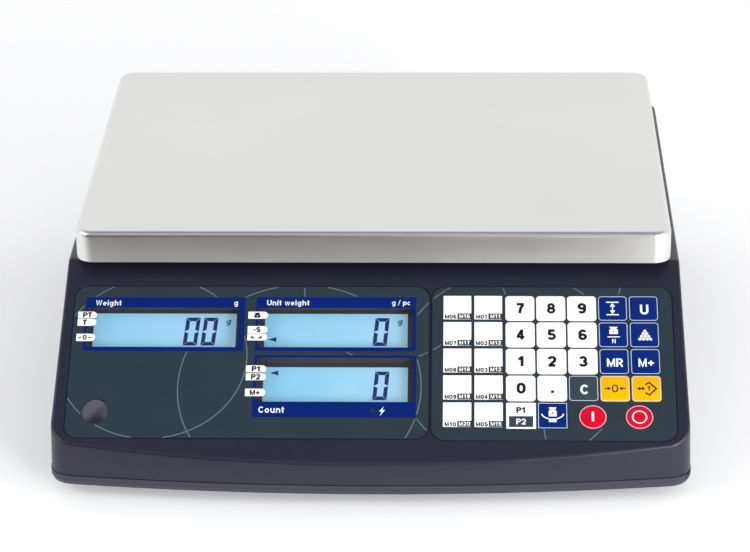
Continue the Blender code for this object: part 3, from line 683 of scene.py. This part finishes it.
def make_housings():
    """Upper shell and lower tray, with the closing screws in the tray's underside."""
    shell = cad_mesh("top_housing")
    to_panel = PANEL.inverted()
    axis = PANEL @ Vector((*LEVEL, 0))
    for face in shell.faces:
        middle = face.calc_center_median()
        spot = to_panel @ middle
        off_axis = math.hypot(middle.x - axis.x, middle.y - axis.y)
        # Painted light: faces inside the level's well get the lighter grey look that stands in for light
        # falling into it
        if off_axis < LEVEL_WELL and spot.z < -RECESS_START:
            face.material_index = 2
        # Painted light: the recess walls behind the windows, part of the shell, take the lighter brownish
        # bezel tone
        in_recess = any(inside((spot.x, spot.y), recess(window), RECESS_RIM) for window in WINDOWS.values())
        if in_recess and RECESS_FLOOR < spot.z < -RECESS_START:
            face.material_index = 1
    looks = ["housing", "bezel", "well"]
    piece("housing_shell", shell, looks, replaces="top_housing", angle=40)
    tool = bmesh.new()
    for place in SCREW_PLACES:
        bore = moved(circle(SCREW_BORE, 24), place)
        loft(tool, [(bore, 0.004), (bore, SCREW_SEAT)])
    tray = cut(cad_mesh("base_housing"), tool)
    piece("housing_tray", tray, ["base"], replaces="base_housing", angle=40)
    screws = bmesh.new()
    for place in SCREW_PLACES:
        cross_headed(screws, place)
    piece("closing_screws", screws, ["screw"])


def cross_headed(bm, place):
    """Pan head screw with a cross recess, in a bore that opens downwards."""
    dome = [(0.0, 0.0), (1.0, 0.0), (1.0, 0.0005), (0.86, 0.0012), (0.55, 0.0016)]
    profile = dome + [(0.42, 0.0016), (0.16, 0.0009), (0.0, 0.0009)]
    turned(bm, [(r * SCREW_HEAD, SCREW_SEAT - z) for r, z in profile], 32, 0, place)
    slot = rounded(SCREW_HEAD * 1.05, SCREW_HEAD * 0.24, SCREW_HEAD * 0.1, 2)
    for outline in (slot, [(-y, x) for x, y in slot]):
        flat(bm, moved(outline, place), SCREW_SEAT - 0.00105, SCREW_SEAT - 0.0010)


# ---- platter and support


def make_platter():
    """Pressed tray with a fine bend, and a folded inner edge on the skirt."""
    bend, sheet, corner, edge = 0.0028, 0.001, 0.009, 0.0002
    bottom = PLATTER_TOP - PLATTER_SKIRT

    def ring(inset, z):
        radius = max(corner - inset, 0.003)
        return moved(rounded(PLATTER[0] - 2 * inset, PLATTER[1] - 2 * inset, radius, 14), (0, PLATTER_Y)), z

    angles = [math.radians(a) for a in range(0, 91, 10)]
    rings = [ring(bend * (1 - math.cos(a)), PLATTER_TOP - bend * (1 - math.sin(a))) for a in reversed(angles)]
    rings += [ring(0, bottom + edge), ring(edge, bottom)]
    rings += [ring(sheet - edge, bottom), ring(sheet, bottom + edge)]
    inner = bend - sheet
    rings += [ring(bend - inner * math.cos(a), PLATTER_TOP - bend + inner * math.sin(a)) for a in angles]
    bm = bmesh.new()
    loft(bm, rings)
    piece("platter_tray", bm, ["steel"], "platter", "platter", angle=50)


def make_support():
    """Cast cross with rubber caps on its four ends."""
    body = BODY_OF["platter_support"]
    piece("support_casting", cad_mesh("platter_support"), ["cast"], body, "platter_support")
    profile = [
        (0.0, 0.09845), (0.0091, 0.0985), (0.0104, 0.0985), (0.0106, 0.0990), (0.0106, 0.1024),
        (0.0101, 0.1034), (0.0092, 0.1038), (0.0, 0.1039),
    ]
    for index, (x, y) in enumerate(CAP_PLACES, 1):
        bm = bmesh.new()
        turned(bm, profile, 40, 0, (x, PLATTER_Y + y))
        piece(f"support_cap_{index}", bm, ["rubber"], body)


# ---- printed panels


def within_sheet(point, box, margin=0.0002):
    """True if a point lies on a printed sheet with round corners, margin inside its edge."""
    x = abs(point[0] - (box[0] + box[1]) / 2) - (box[1] - box[0]) / 2 + margin
    y = abs(point[1] - (box[2] + box[3]) / 2) - (box[3] - box[2]) / 2 + margin
    if x > 0 or y > 0:
        return False
    corner = OVERLAY_CORNER - margin
    return not (x > -corner and y > -corner and math.hypot(x + corner, y + corner) > corner)


FRAMES = {
    "lcd_weight": (-0.1436, -0.0635, 0.0536, 0.0854),
    "lcd_unit_weight": (-0.0580, 0.0221, 0.0538, 0.0857),
    "lcd_count": (-0.0578, 0.0225, 0.0154, 0.0512),
}
CIRCLES = (
    ((-0.1085, 0.0500), 0.0470), ((-0.0350, 0.0330), 0.0600), ((0.0080, 0.0900), 0.0420),
    ((0.0700, 0.0450), 0.0560), ((0.1330, 0.0120), 0.0480), ((0.0950, 0.0980), 0.0300),
)


def make_circles(name, sheet, blocked):
    """Faint thin rings printed across a sheet, broken where something is printed over them."""
    bm = bmesh.new()
    for centre, radius in CIRCLES:
        run = []
        for point in arc(centre, radius, 0, 2 * math.pi, 420) + [None]:
            good = point and within_sheet(point, sheet)
            good = good and not any(inside(point, box, 0.0003) for box in blocked)
            if good:
                run.append(point)
                continue
            if len(run) > 4:
                strip(bm, run, 0.00055, SURFACE - INK, SURFACE + INK * 0.5)
            run = []
    piece(name, bm, ["arc"], where=PANEL, weigh=False)


def tag(bm, left, right, low, high):
    """White label with a round right end."""
    radius = (high - low) / 2
    end = arc((right - radius, low + radius), radius, -math.pi / 2, math.pi / 2, 10)
    flat(bm, [(left, high), (left, low)] + end, SURFACE + INK, SURFACE + 2 * INK)


# Words, capital height, place, stroke weight, alignment and space between letters
HEADERS = (
    ("Weight", 0.0032, (-0.1388, 0.0821), 0.15, 0.0, 0.13), ("g", 0.0032, (-0.0672, 0.0823), 0.15, 1.0, 0.10),
    ("Unit weight", 0.0032, (-0.0527, 0.0824), 0.15, 0.0, 0.13),
    ("g / pc", 0.0030, (0.0193, 0.0826), 0.14, 1.0, 0.10),
    ("Count", 0.0036, (-0.0547, 0.0197), 0.16, 0.0, 0.14),
)
BOLT = (
    (0.0068, 0.0218), (0.0046, 0.0188), (0.0059, 0.0188),
    (0.0050, 0.0163), (0.0074, 0.0197), (0.0060, 0.0197),
)
# Left and right ends, then the lower and upper edge of each tag of a column
TAGS = (
    (-0.1472, -0.1378, ((0.0728, 0.0768), (0.0684, 0.0724), (0.0593, 0.0636))),
    (-0.0618, -0.0519, ((0.0728, 0.0770), (0.0643, 0.0684), (0.0599, 0.0640))),
    (-0.0616, -0.0516, ((0.0412, 0.0452), (0.0366, 0.0406), (0.0274, 0.0317))),
)
TAG_WORDS = (
    ("PT", 0.0031, (-0.1425, 0.0748), 0.27), ("T", 0.0030, (-0.1436, 0.0704), 0.27),
    ("0", 0.0028, (-0.1430, 0.06145), 0.24), ("-S", 0.0030, (-0.0572, 0.06635), 0.27),
    ("P1", 0.0031, (-0.0567, 0.0432), 0.27), ("P2", 0.0031, (-0.0567, 0.0386), 0.27),
    ("M+", 0.0031, (-0.0568, 0.02955), 0.25),
)


def make_display_overlay():
    """Left-hand sheet: frames, headers, tags, clear windows and the charge light."""
    sheet = cad_mesh("display_overlay")
    piece("display_sheet", sheet, ["overlay"], replaces="display_overlay")
    u, v = LEVEL
    well = (u - LEVEL_WELL, u + LEVEL_WELL, v - LEVEL_OPENING, v + LEVEL_OPENING)
    make_circles("display_rings", DISPLAY_OVERLAY, list(FRAMES.values()) + [well])
    bm = bmesh.new()
    low, high = SURFACE - INK, SURFACE + INK
    for name, outer in FRAMES.items():
        band(bm, area(outer, 0.0008), area(WINDOWS[name], 0.0006), low, high)
    top = high + INK * 0.6
    for words, height, place, weight, align, space in HEADERS:
        letter(bm, words, height, place, low, top, 1, weight, align, space=space)
    flat(bm, BOLT, low, top, 1)
    piece("display_frames", bm, ["frame", "white"], where=PANEL, weigh=False)
    make_tags()
    for name, box in WINDOWS.items():
        bm = bmesh.new()
        flat(bm, area(box, 0.0006, 0.00003), SURFACE - 0.0005, SURFACE - 0.0001)
        piece("window_" + name[4:], bm, ["film"], where=PANEL, weigh=False)
    bm = bmesh.new()
    radius, rise = 0.00125, SURFACE + 0.00005
    turned(bm, [(0.0, low), (radius, low), (radius, rise), (0.0, SURFACE + 0.00012)], 24, 0, (0.0015, 0.0191))
    piece("charge_light", bm, ["lamp"], where=PANEL)


def make_tags():
    """White tags at the left of each display, with black signs."""
    bm = bmesh.new()
    top = SURFACE + 3 * INK
    for left, right, rows in TAGS:
        for low, high in rows:
            tag(bm, left, right, low, high)
    for words, height, place, weight in TAG_WORDS:
        letter(bm, words, height, place, SURFACE, top, 1, weight)
    weight_sign(bm, (-0.0573, 0.0749), 0.0030, SURFACE, top, 1)
    for side in (-1, 1):
        flat(bm, rect(-0.1430 + side * 0.0026, 0.06145, 0.0018, 0.0006), SURFACE, top, 1)
        x = -0.0573 + side * 0.0016
        wedge = [(x - 0.0011, 0.0611), (x + 0.0011, 0.0611), (x + side * 0.0011, 0.0629)]
        flat(bm, wedge, SURFACE, top, 1)
    piece("display_tags", bm, ["white", "black"], where=PANEL, weigh=False)


def rect(x, y, width, height):
    """Plain rectangle outline about a centre."""
    return [(x + sx * width / 2, y + sy * height / 2) for sx, sy in ((1, 1), (-1, 1), (-1, -1), (1, -1))]


WEIGHT_SHAPE = (
    (-0.5, -0.5), (0.5, -0.5), (0.5, 0.08), (0.30, 0.22),
    (0.5, 0.5), (-0.5, 0.5), (-0.30, 0.22), (-0.5, 0.08),
)


def weight_sign(bm, centre, size, low, high, ink, narrow=1.0):
    """A small balance weight: a block with a wide knob on top, as a ring of ink round a dot."""
    x, y = centre
    drop, radius = 0.15 * size, 0.12 * size
    block = [(x + px * size * narrow, y + py * size) for px, py in WEIGHT_SHAPE]
    eye = []
    for px, py in WEIGHT_SHAPE:
        angle = math.atan2(py + 0.15, px)
        eye.append((x + math.cos(angle) * radius, y - drop + math.sin(angle) * radius))
    band(bm, block, eye, low, high, ink)


def digit(bm, place, low, high):
    """A seven-segment nought with mitred, slightly separated bars."""
    width, height = DIGIT_SIZE
    thick, gap, lean = DIGIT_STROKE, DIGIT_GAP, 0.08
    mid = height / 2
    near = thick - gap
    shapes = (
        [(gap, height), (width - gap, height), (width - thick, height - thick), (thick, height - thick)],
        [(gap, 0), (thick, thick), (width - thick, thick), (width - gap, 0)],
        [(0, height - gap), (near, height - thick - gap), (near, mid + thick * 0.5), (0, mid + gap)],
        [(0, mid - gap), (near, mid - thick * 0.5), (near, thick + gap), (0, gap)],
    )
    for index, shape in enumerate(shapes):
        sides = [shape]
        if index > 1:
            sides.append([(width - x, y) for x, y in shape])
        for points in sides:
            outline = [(place[0] + x + (y - mid) * lean, place[1] + y - mid) for x, y in points]
            flat(bm, outline, low, high, 1)


def make_lcds():
    """Each display: a dark rimmed module, its lit face, and what it shows."""
    arrows = {"lcd_unit_weight": (-0.0340, -0.0036), "lcd_count": (-0.0327, 0.0083)}
    for name in WINDOWS:
        low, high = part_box(name)
        u, v, _ = PANEL.inverted() @ ((low + high) / 2)
        rim = LCD_TOP - 0.0004
        bm = bmesh.new()
        outer = moved(rounded(*LCD_MODULE, 0.0005, 2), (u, v))
        flat(bm, outer, LCD_TOP - 0.0026, rim)
        band(bm, outer, moved(rounded(*LCD_LIT, 0.0004, 2), (u, v)), rim, LCD_TOP)
        piece("module_" + name[4:], bm, ["bezel"], replaces=name, where=PANEL)
        bm = bmesh.new()
        lit = moved(rounded(LCD_LIT[0] - 0.0001, LCD_LIT[1] - 0.0001, 0.0003, 2), (u, v))
        flat(bm, lit, rim + 0.00002, LCD_TOP - 0.0002)
        piece("panel_lit_" + name[4:], bm, ["glass"], where=PANEL)
        bm = bmesh.new()
        low, high = LCD_TOP - 0.0002, LCD_TOP - 0.00014
        for step in range(2 if name == "lcd_weight" else 1):
            digit(bm, (u + 0.0190 - DIGIT_PITCH * step, v + 0.0010), low, high)
        if name != "lcd_count":
            letter(bm, "g", 0.0036, (u + 0.0321, v + 0.0072), low, high, 1, 0.16, slant=0.2)
        if name in arrows:
            x, y = u + arrows[name][0], v + arrows[name][1]
            flat(bm, [(x, y), (x + 0.0042, y - 0.0014), (x + 0.0042, y + 0.0014)], low, high, 1)
        piece("digits_" + name[4:], bm, ["bezel", "segment"], where=PANEL, weigh=False)


# ---- keys


# Finish, first column, first row, then the names of the keys row by row
KEY_BLOCKS = (
    ("key_white", 0, 0, ("7 8 9", "4 5 6", "1 2 3", "0 point")),
    ("key_slate", 2, 3, ("clear",)),
    ("key_blue", 3, 0, ("up_down units", "sample_weight sample_count", "memory_recall memory_add")),
    ("key_yellow", 3, 3, ("zero tare",)),
    ("key_white", 0, 4, ("page",)),
    ("key_blue", 1, 4, ("weighing",)),
)
SQUARE_CORNER = 0.0003


def key_places():
    """Name, centre, size, corner radius and finish of each rectangular key."""
    places = []
    for finish, first, top, rows in KEY_BLOCKS:
        for row, names in enumerate(rows, top):
            for column, name in enumerate(names.split(), first):
                centre = (KEY_FIRST[0] + column * KEY_PITCH[0], KEY_FIRST[1] - row * KEY_PITCH[1])
                radius = SQUARE_CORNER if name in ("page", "weighing") else KEY_CORNER
                places.append(("key_" + name, centre, KEY_SIZE, radius, finish))
    size = (PRESET_SIZE, PRESET_SIZE)
    for number in range(1, 11):
        column, row = 1 - (number - 1) // 5, (number - 1) % 5
        centre = (PRESET_FIRST[0] + column * PRESET_PITCH_U, PRESET_FIRST[1] - row * KEY_PITCH[1])
        places.append((f"key_preset_{number}", centre, size, SQUARE_CORNER, "key_white"))
    return places


TOP = KEY_TOP + INK  # upper and lower side of the print on a key
UNDER = KEY_TOP - 0.0001


def ink(bm, outline, look=1):
    """A printed shape on a key."""
    flat(bm, outline, UNDER, TOP, look)


def sign_up_down(bm):
    """Upright arrow with two heads between two bars."""
    for y in (-0.0037, 0.0037):
        ink(bm, rect(0, y, 0.0062, 0.0006))
    ink(bm, rect(0, 0, 0.0006, 0.0036))
    for way in (-1, 1):
        ink(bm, [(0, way * 0.0033), (way * -0.0013, way * 0.0011), (way * 0.0013, way * 0.0011)])


def sign_sample_weight(bm):
    """Weight over a bar and a letter."""
    weight_sign(bm, (0.0002, 0.0026), 0.0042, UNDER, TOP, 1)
    ink(bm, rect(0.0002, -0.0012, 0.0062, 0.0005))
    letter(bm, "N", 0.0026, (0.0002, -0.0037), UNDER, TOP, 1, 0.15)


def sign_sample_count(bm):
    """Heap of round pieces."""
    for row in range(4):
        for i in range(row + 1):
            centre = (0.0003 + (i - row / 2) * 0.00180, 0.0023 - row * 0.00160)
            ink(bm, moved(circle(0.00078, 16), centre))


def sign_zero(bm):
    """Nought between two arrows."""
    band(bm, ellipse(0.0016, 0.0023), ellipse(0.0009, 0.0016), UNDER, TOP, 1)
    for way in (-1, 1):
        ink(bm, rect(way * 0.0042, 0, 0.0020, 0.0006))
        ink(bm, [(way * 0.0021, 0), (way * 0.0036, way * 0.0011), (way * 0.0036, way * -0.0011)])


def sign_tare(bm):
    """Arrow into a pointed tag with a letter."""
    ink(bm, rect(-0.0040, 0, 0.0012, 0.0006))
    for x in (-0.0038, -0.0022):
        ink(bm, [(x + 0.0017, 0), (x, 0.0011), (x, -0.0011)])
    line = [(-0.0006, 0.0022), (0.0014, 0.0035), (0.0048, 0.0), (0.0014, -0.0037), (-0.0006, -0.0024)]
    ribbon(bm, line, 0.0008, UNDER, TOP, 1, False)
    letter(bm, "T", 0.0025, (0.0013, 0), UNDER, TOP, 1, 0.24)


def sign_weighing(bm):
    """Weight on a curved pan."""
    weight_sign(bm, (0, 0.0021), 0.0051, UNDER, TOP, 1, 0.76)
    for start, end in ((184, 247), (293, 356)):
        ribbon(bm, bow(0, 0.0012, 0.0053, 0.0032, start, end, 10), 0.0006, UNDER, TOP, 1, False)
    ink(bm, rect(0, -0.0027, 0.0038, 0.0020))


def sign_page(bm):
    """Two page names, the lower one pale on dark."""
    letter(bm, "P1", 0.0033, (0, 0.0031), UNDER, TOP, 2, 0.25)
    ink(bm, rect(0, -0.0035, 0.0118, 0.0062), 3)
    letter(bm, "P2", 0.0033, (0, -0.0035), UNDER, TOP + INK, 1, 0.18)


def ellipse(a, b, steps=32):
    """Outline of an ellipse."""
    return [(a * x, b * y) for x, y in circle(1.0, steps)]


SIGNS = {
    "key_up_down": sign_up_down, "key_sample_weight": sign_sample_weight,
    "key_sample_count": sign_sample_count, "key_zero": sign_zero, "key_tare": sign_tare,
    "key_weighing": sign_weighing, "key_page": sign_page,
}
WORDS = {
    "key_units": "U", "key_memory_recall": "MR", "key_memory_add": "M+", "key_clear": "C", "key_point": ".",
}
WORD_HEIGHTS = {"U": 0.0058, "C": 0.0055, "MR": 0.0048, "M+": 0.0048}
WORD_HEIGHT = 0.0060


def make_keycap(name, centre, outline_at, finish):
    """One key with its printed signs."""
    bm = bmesh.new()
    bevel = 0.00015
    rings = [(outline_at(0), KEY_LOW), (outline_at(0), KEY_TOP - bevel)]
    rings += [(outline_at(bevel * 0.3), KEY_TOP - bevel * 0.3), (outline_at(bevel), KEY_TOP)]
    loft(bm, rings)
    looks = [finish, "black" if finish == "key_yellow" else "white", "black", "key_slate", "outline"]
    if finish != "key_white":
        band(bm, outline_at(0.00016), outline_at(0.00050), UNDER, TOP, 4)
    if name in SIGNS:
        SIGNS[name](bm)
    elif name.startswith("key_preset"):
        number = int(name.rsplit("_", 1)[1])
        letter(bm, f"M{number:02d}", 0.0023, (-0.0033, -0.0056), UNDER, TOP, 2, 0.25, space=0.14)
        ink(bm, rect(0.0035, -0.0053, 0.0069, 0.0033), 3)
        letter(bm, f"M{number + 10:02d}", 0.0022, (0.0036, -0.0053), UNDER, TOP + INK, 1, 0.19, space=0.14)
    elif name == "key_on":
        ink(bm, rect(0, 0.0003, 0.0011, 0.0053))
    elif name == "key_off":
        band(bm, circle(0.0037, 40), circle(0.0031, 40), UNDER, TOP, 1)
    else:
        words = WORDS.get(name, name.rsplit("_", 1)[1])
        light = finish in ("key_blue", "key_slate")
        height = WORD_HEIGHTS.get(words, WORD_HEIGHT)
        spot = (0.0004, -0.0006) if light else (0.0002, 0.0)
        weight = 0.19 if light else 0.25
        letter(bm, words, height, spot, UNDER, TOP, 1 if light else 2, weight)
    where = PANEL @ Matrix.Translation((centre[0], centre[1], 0))
    piece("cap_" + name[4:], bm, looks, BODY_OF[name], name, where, weigh=False)


def make_keypad():
    """Right-hand sheet and its 34 keys."""
    piece("keypad_sheet", cad_mesh("keypad_overlay"), ["overlay"], replaces="keypad_overlay")
    make_circles("keypad_rings", KEYPAD_OVERLAY, [KEY_FIELD])
    for name, centre, size, radius, finish in key_places():
        def outline_at(inset, size=size, radius=radius):
            return rounded(size[0] - 2 * inset, size[1] - 2 * inset, max(radius - inset, 0.0001), 6)
        make_keycap(name, centre, outline_at, finish)
    for name, centre in ROUND_KEYS:
        make_keycap(name, centre, lambda inset: circle(ROUND_KEY - inset, 48), "key_red")


# ---- small parts


def make_level():
    """Level vial: acrylic puck with a black ring, fluid and its bubble."""
    low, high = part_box("level_vial")
    x, y = centre_of(low, high)
    radius, bottom, top = 0.00605, low.z, high.z
    face = top - 0.0003
    puck = [(0, bottom), (radius, bottom), (radius, top - 0.0004), (radius - 0.0004, top)]
    puck += [(radius - 0.0012, top), (radius - 0.0014, face), (0, face)]
    bubble = [(0, face), (0.0016, top - 0.00028), (0.0015, top - 0.0001), (0.0009, top - 0.00002), (0, top)]
    bm = bmesh.new()
    turned(bm, puck, 48, 0, (x, y))
    turned(bm, bubble, 32, 1, (x + 0.0006, y + 0.0004))
    ring = [moved(circle(r, 40), (x, y)) for r in (0.0027, 0.0024)]
    band(bm, *ring, top - 0.0004, top - 0.00026, 2)
    piece("level_bubble", bm, ["fluid", "white", "black"], replaces="level_vial")


def make_feet():
    """Screw feet: knurled disc, threaded stud, ribbed rubber pad."""
    count = 4 * FOOT_KNURLS
    knurl = []
    for i in range(count):
        radius = FOOT_RADIUS - (FOOT_KNURL_DEPTH if i % 4 in (0, 3) else 0.0)
        turn = 2 * math.pi * i / count
        knurl.append((radius * math.cos(turn), radius * math.sin(turn)))
    shrunk = [(x * 0.965, y * 0.965) for x, y in knurl]
    rings = [(shrunk, 0.0012), (knurl, 0.0017), (knurl, 0.0052), (shrunk, 0.0057)]
    pad = [(0.0, 0.0003), (0.0030, 0.0003), (0.0033, 0.0), (0.0062, 0.0), (0.0065, 0.0004), (0.0072, 0.0004)]
    pad += [(0.0075, 0.0), (0.0114, 0.0), (0.0120, 0.0006), (0.0120, 0.0025), (0.0, 0.0025)]
    for number, place in enumerate(FOOT_PLACES, 1):
        node = f"foot_screw_{number}"
        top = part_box(node)[1].z
        bm = bmesh.new()
        loft(bm, [(moved(line, place), z) for line, z in rings])
        stud = [(0.0, 0.0056), (STUD_RADIUS, 0.0056)]
        crest = STUD_RADIUS - 0.00002
        z = 0.0058
        while z < top - 0.0014:
            stud += [(crest, z), (crest, z + 0.0003), (STUD_ROOT, z + 0.00065), (STUD_ROOT, z + 0.0008)]
            z += STUD_PITCH
        stud += [(0.0035, top - 0.0006), (0.0029, top), (0.0, top)]
        turned(bm, stud, 28, 0, place)
        piece(f"foot_{number}_screw", bm, ["foot"], BODY_OF[node], node)
        node = f"foot_pad_{number}"
        bm = bmesh.new()
        turned(bm, pad, 48, 0, place)
        piece(f"foot_{number}_pad", bm, ["rubber"], BODY_OF[node], node)


def make_door():
    """Sliding battery door with a ribbed thumb grip and an arrow."""
    low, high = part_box("battery_door")
    x, _ = centre_of(low, high)
    bm = bmesh.new()
    moulding(bm, low, high, 0.0015, [(0.0006, low.z), (0.0, low.z + 0.0005), (0.0, high.z)])
    tool = bmesh.new()
    under = low.z - 0.001
    for i in range(7):
        line = moved(rounded(0.030, 0.0012, 0.0005, 3), (x, low.y + 0.010 + i * 0.0024))
        flat(tool, line, under, low.z + 0.0007)
    head = [(-0.006, 0.0), (0.0, 0.007), (0.006, 0.0)]
    shaft = [(0.0022, 0.0), (0.0022, -0.007), (-0.0022, -0.007), (-0.0022, 0.0)]
    flat(tool, moved(head + shaft, (x, low.y + 0.040)), under, low.z + 0.0004)
    piece("door_sliding", cut(bm, tool), ["base"], BODY_OF["battery_door"], "battery_door")


def make_battery():
    """Sealed battery with a parting line, vents and two terminals."""
    low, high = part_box("battery")
    x, y = centre_of(low, high)
    lid, top, seat = high.z - 0.008, high.z, high.z - 0.0023
    rings = [(0.0008, low.z), (0, low.z + 0.0008), (0, lid - 0.0004), (0.0005, lid), (0.0005, lid + 0.0002)]
    rings += [(0, lid + 0.0006), (0, top - 0.0030), (0.0008, top - 0.0022)]
    bm = bmesh.new()
    moulding(bm, low, high, 0.0022, rings)
    for side, ink_index in ((-1, 1), (1, 2)):
        place = (x + side * 0.040, y - 0.025)
        flat(bm, rect(*place, 0.0063, 0.0008), seat, top, 3)
        flat(bm, rect(*place, 0.011, 0.008), seat, top - 0.0016, ink_index)
    for i in range(4):
        flat(bm, rect(x, y - 0.021 + i * 0.014, 0.060, 0.0012), seat, top - 0.0018)
    piece("battery_block", bm, ["battery", "black", "key_red", "pin"], replaces="battery")


BOARDS = (
    ("main_board", "board", "circuit_board"), ("display_board", "board", "circuit_board"),
    ("keypad_circuit", "circuit", "circuit_film"),
)
CHIPS = ((0.0032, 0.0016, 0.0012), (0.0050, 0.0030, 0.0018), (0.0100, 0.0070, 0.0016))


def make_boards():
    """Circuit boards and the keypad's circuit, with chips and capacitors on the main board."""
    for node, key, slot in BOARDS:
        piece(node + "_sheet", cad_mesh(node), [key], replaces=node)
    parts = random.Random(7)
    low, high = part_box("main_board")
    top = high.z
    bm = bmesh.new()
    for i in range(26):
        x = parts.uniform(low.x + 0.008, high.x - 0.012)
        y = parts.uniform(low.y + 0.008, low.y + 0.042)
        width, depth, rise = parts.choice(CHIPS)
        flat(bm, rect(x, y, width, depth), top - 0.0001, top + rise)
    can = [(0, 0), (0.0032, 0), (0.0032, 0.0058), (0.0028, 0.0062), (0, 0.0062)]
    for i in range(4):
        place = (low.x + 0.020 + i * 0.014, low.y + 0.012)
        turned(bm, [(r, top + z) for r, z in can], 24, 1, place)
    piece("main_board_parts", bm, ["black", "battery"])


def make_inlet():
    """Round low-voltage inlet with its centre pin and spring contact."""
    bm = cad_mesh("power_jack")
    for face in bm.faces:
        middle = face.calc_center_median() - Vector(JACK)
        if math.hypot(middle.x, middle.z) < 0.0014 and middle.y > -0.0085:
            face.material_index = 1
    piece("inlet_socket", bm, ["jack", "pin"], replaces="power_jack", recalc=False)


def make_inside():
    """Load cell and the plate that it stands on."""
    piece("cell_bar", cad_mesh("load_cell"), ["cell"], CELL_BEND, "load_cell", weigh=False)
    piece("cell_plate", cad_mesh("mounting_plate"), ["plate"], replaces="mounting_plate")


# ---- stage


def flag(name, corners):
    """Dark card in front of the scale that only mirror-like surfaces see."""
    mesh = bpy.data.meshes.new(name)
    mesh.from_pydata(corners, [], [(0, 1, 2, 3)])
    mesh.materials.append(M["flag"])
    card = linked(name, mesh)
    card.visible_camera = False
    card.visible_diffuse = False
    card.visible_shadow = False
    card.visible_transmission = False


def make_floor():
    """Pale floor, with two dark cards out of view in front."""
    bm = bmesh.new()
    bmesh.ops.create_grid(bm, x_segments=8, y_segments=8, size=6.0)
    mesh = bpy.data.meshes.new("floor")
    bm.to_mesh(mesh)
    bm.free()
    mesh.materials.append(floor_look())
    floor = linked("floor", mesh)
    left, right, far_right, near, far, low, high = -2.2, 0.135, 0.50, -0.238, -1.9, 0.002, 1.7
    back = ((left, far, low), (far_right, far, low))
    flag("flag_low", (*back, (right, near, low), (left, near, low)))
    flag("flag_front", (*back, (far_right, far, high), (left, far, high)))


def make_world():
    """Soft surroundings, bright at the horizon and dim overhead."""
    world = bpy.data.worlds.new("studio")
    bpy.context.scene.world = world
    world.use_nodes = True
    tree = world.node_tree
    place = tree.nodes.new("ShaderNodeTexCoord").outputs["Generated"]
    split = tree.nodes.new("ShaderNodeSeparateXYZ")
    tree.links.new(place, split.inputs[0])
    node = tree.nodes.new("ShaderNodeValToRGB")
    tree.links.new(split.outputs["Z"], node.inputs[0])
    stops = node.color_ramp.elements
    stops[0].position = 0.0
    stops[0].color = (1.0, 1.0, 1.0, 1)
    stops[1].position = 1.0
    stops[1].color = (0.22, 0.23, 0.28, 1)
    stops.new(0.62).color = (0.95, 0.95, 0.96, 1)
    background = tree.nodes["Background"]
    tree.links.new(node.outputs[0], background.inputs["Color"])
    background.inputs["Strength"].default_value = 1.0


# Name, place, target, size and power of each light
LIGHTS = (
    ("key_right", (0.95, -1.60, 0.45), (0.10, -0.12, 0.04), (0.5, 0.5), 20),
    ("side_right", (1.5, -0.9, 0.6), (0.05, 0.0, 0.05), (0.8, 0.6), 8),
    ("fill_left", (-1.8, -0.8, 1.2), (0, 0, 0.05), (1.2, 0.8), 8),
)


def make_lights():
    """Soft area lights, each turned to its target."""
    for name, place, target, size, power in LIGHTS:
        data = bpy.data.lights.new(name, "AREA")
        data.shape = "RECTANGLE"
        data.size, data.size_y = size
        data.energy = power
        lamp = linked(name, data)
        lamp.location = place
        lamp.rotation_mode = "QUATERNION"
        lamp.rotation_quaternion = (Vector(target) - Vector(place)).to_track_quat("-Z", "Y")


def make_camera():
    """Camera in front of and above the scale."""
    data = bpy.data.cameras.new("view")
    data.lens = CAMERA_LENS
    data.sensor_width = 36
    data.clip_start = 0.05
    camera = linked("view", data)
    yaw, pitch, roll = CAMERA_TURN
    ahead = Vector((-math.sin(yaw) * math.cos(pitch), math.cos(yaw) * math.cos(pitch), -math.sin(pitch)))
    right = Vector((math.cos(yaw), math.sin(yaw), 0))
    up = right.cross(ahead)
    side = math.cos(roll) * right + math.sin(roll) * up
    rise = -math.sin(roll) * right + math.cos(roll) * up
    turn = Matrix((side, rise, -ahead)).transposed().to_4x4()
    camera.matrix_world = Matrix.Translation(CAMERA_PLACE) @ turn
    bpy.context.scene.camera = camera


bpy.context.scene.view_settings.view_transform = "Standard"
make_floor()
make_world()
make_lights()
make_camera()
make_housings()
make_platter()
make_support()
make_display_overlay()
make_lcds()
make_keypad()
make_level()
make_feet()
make_door()
make_battery()
make_boards()
make_inlet()
make_inside()
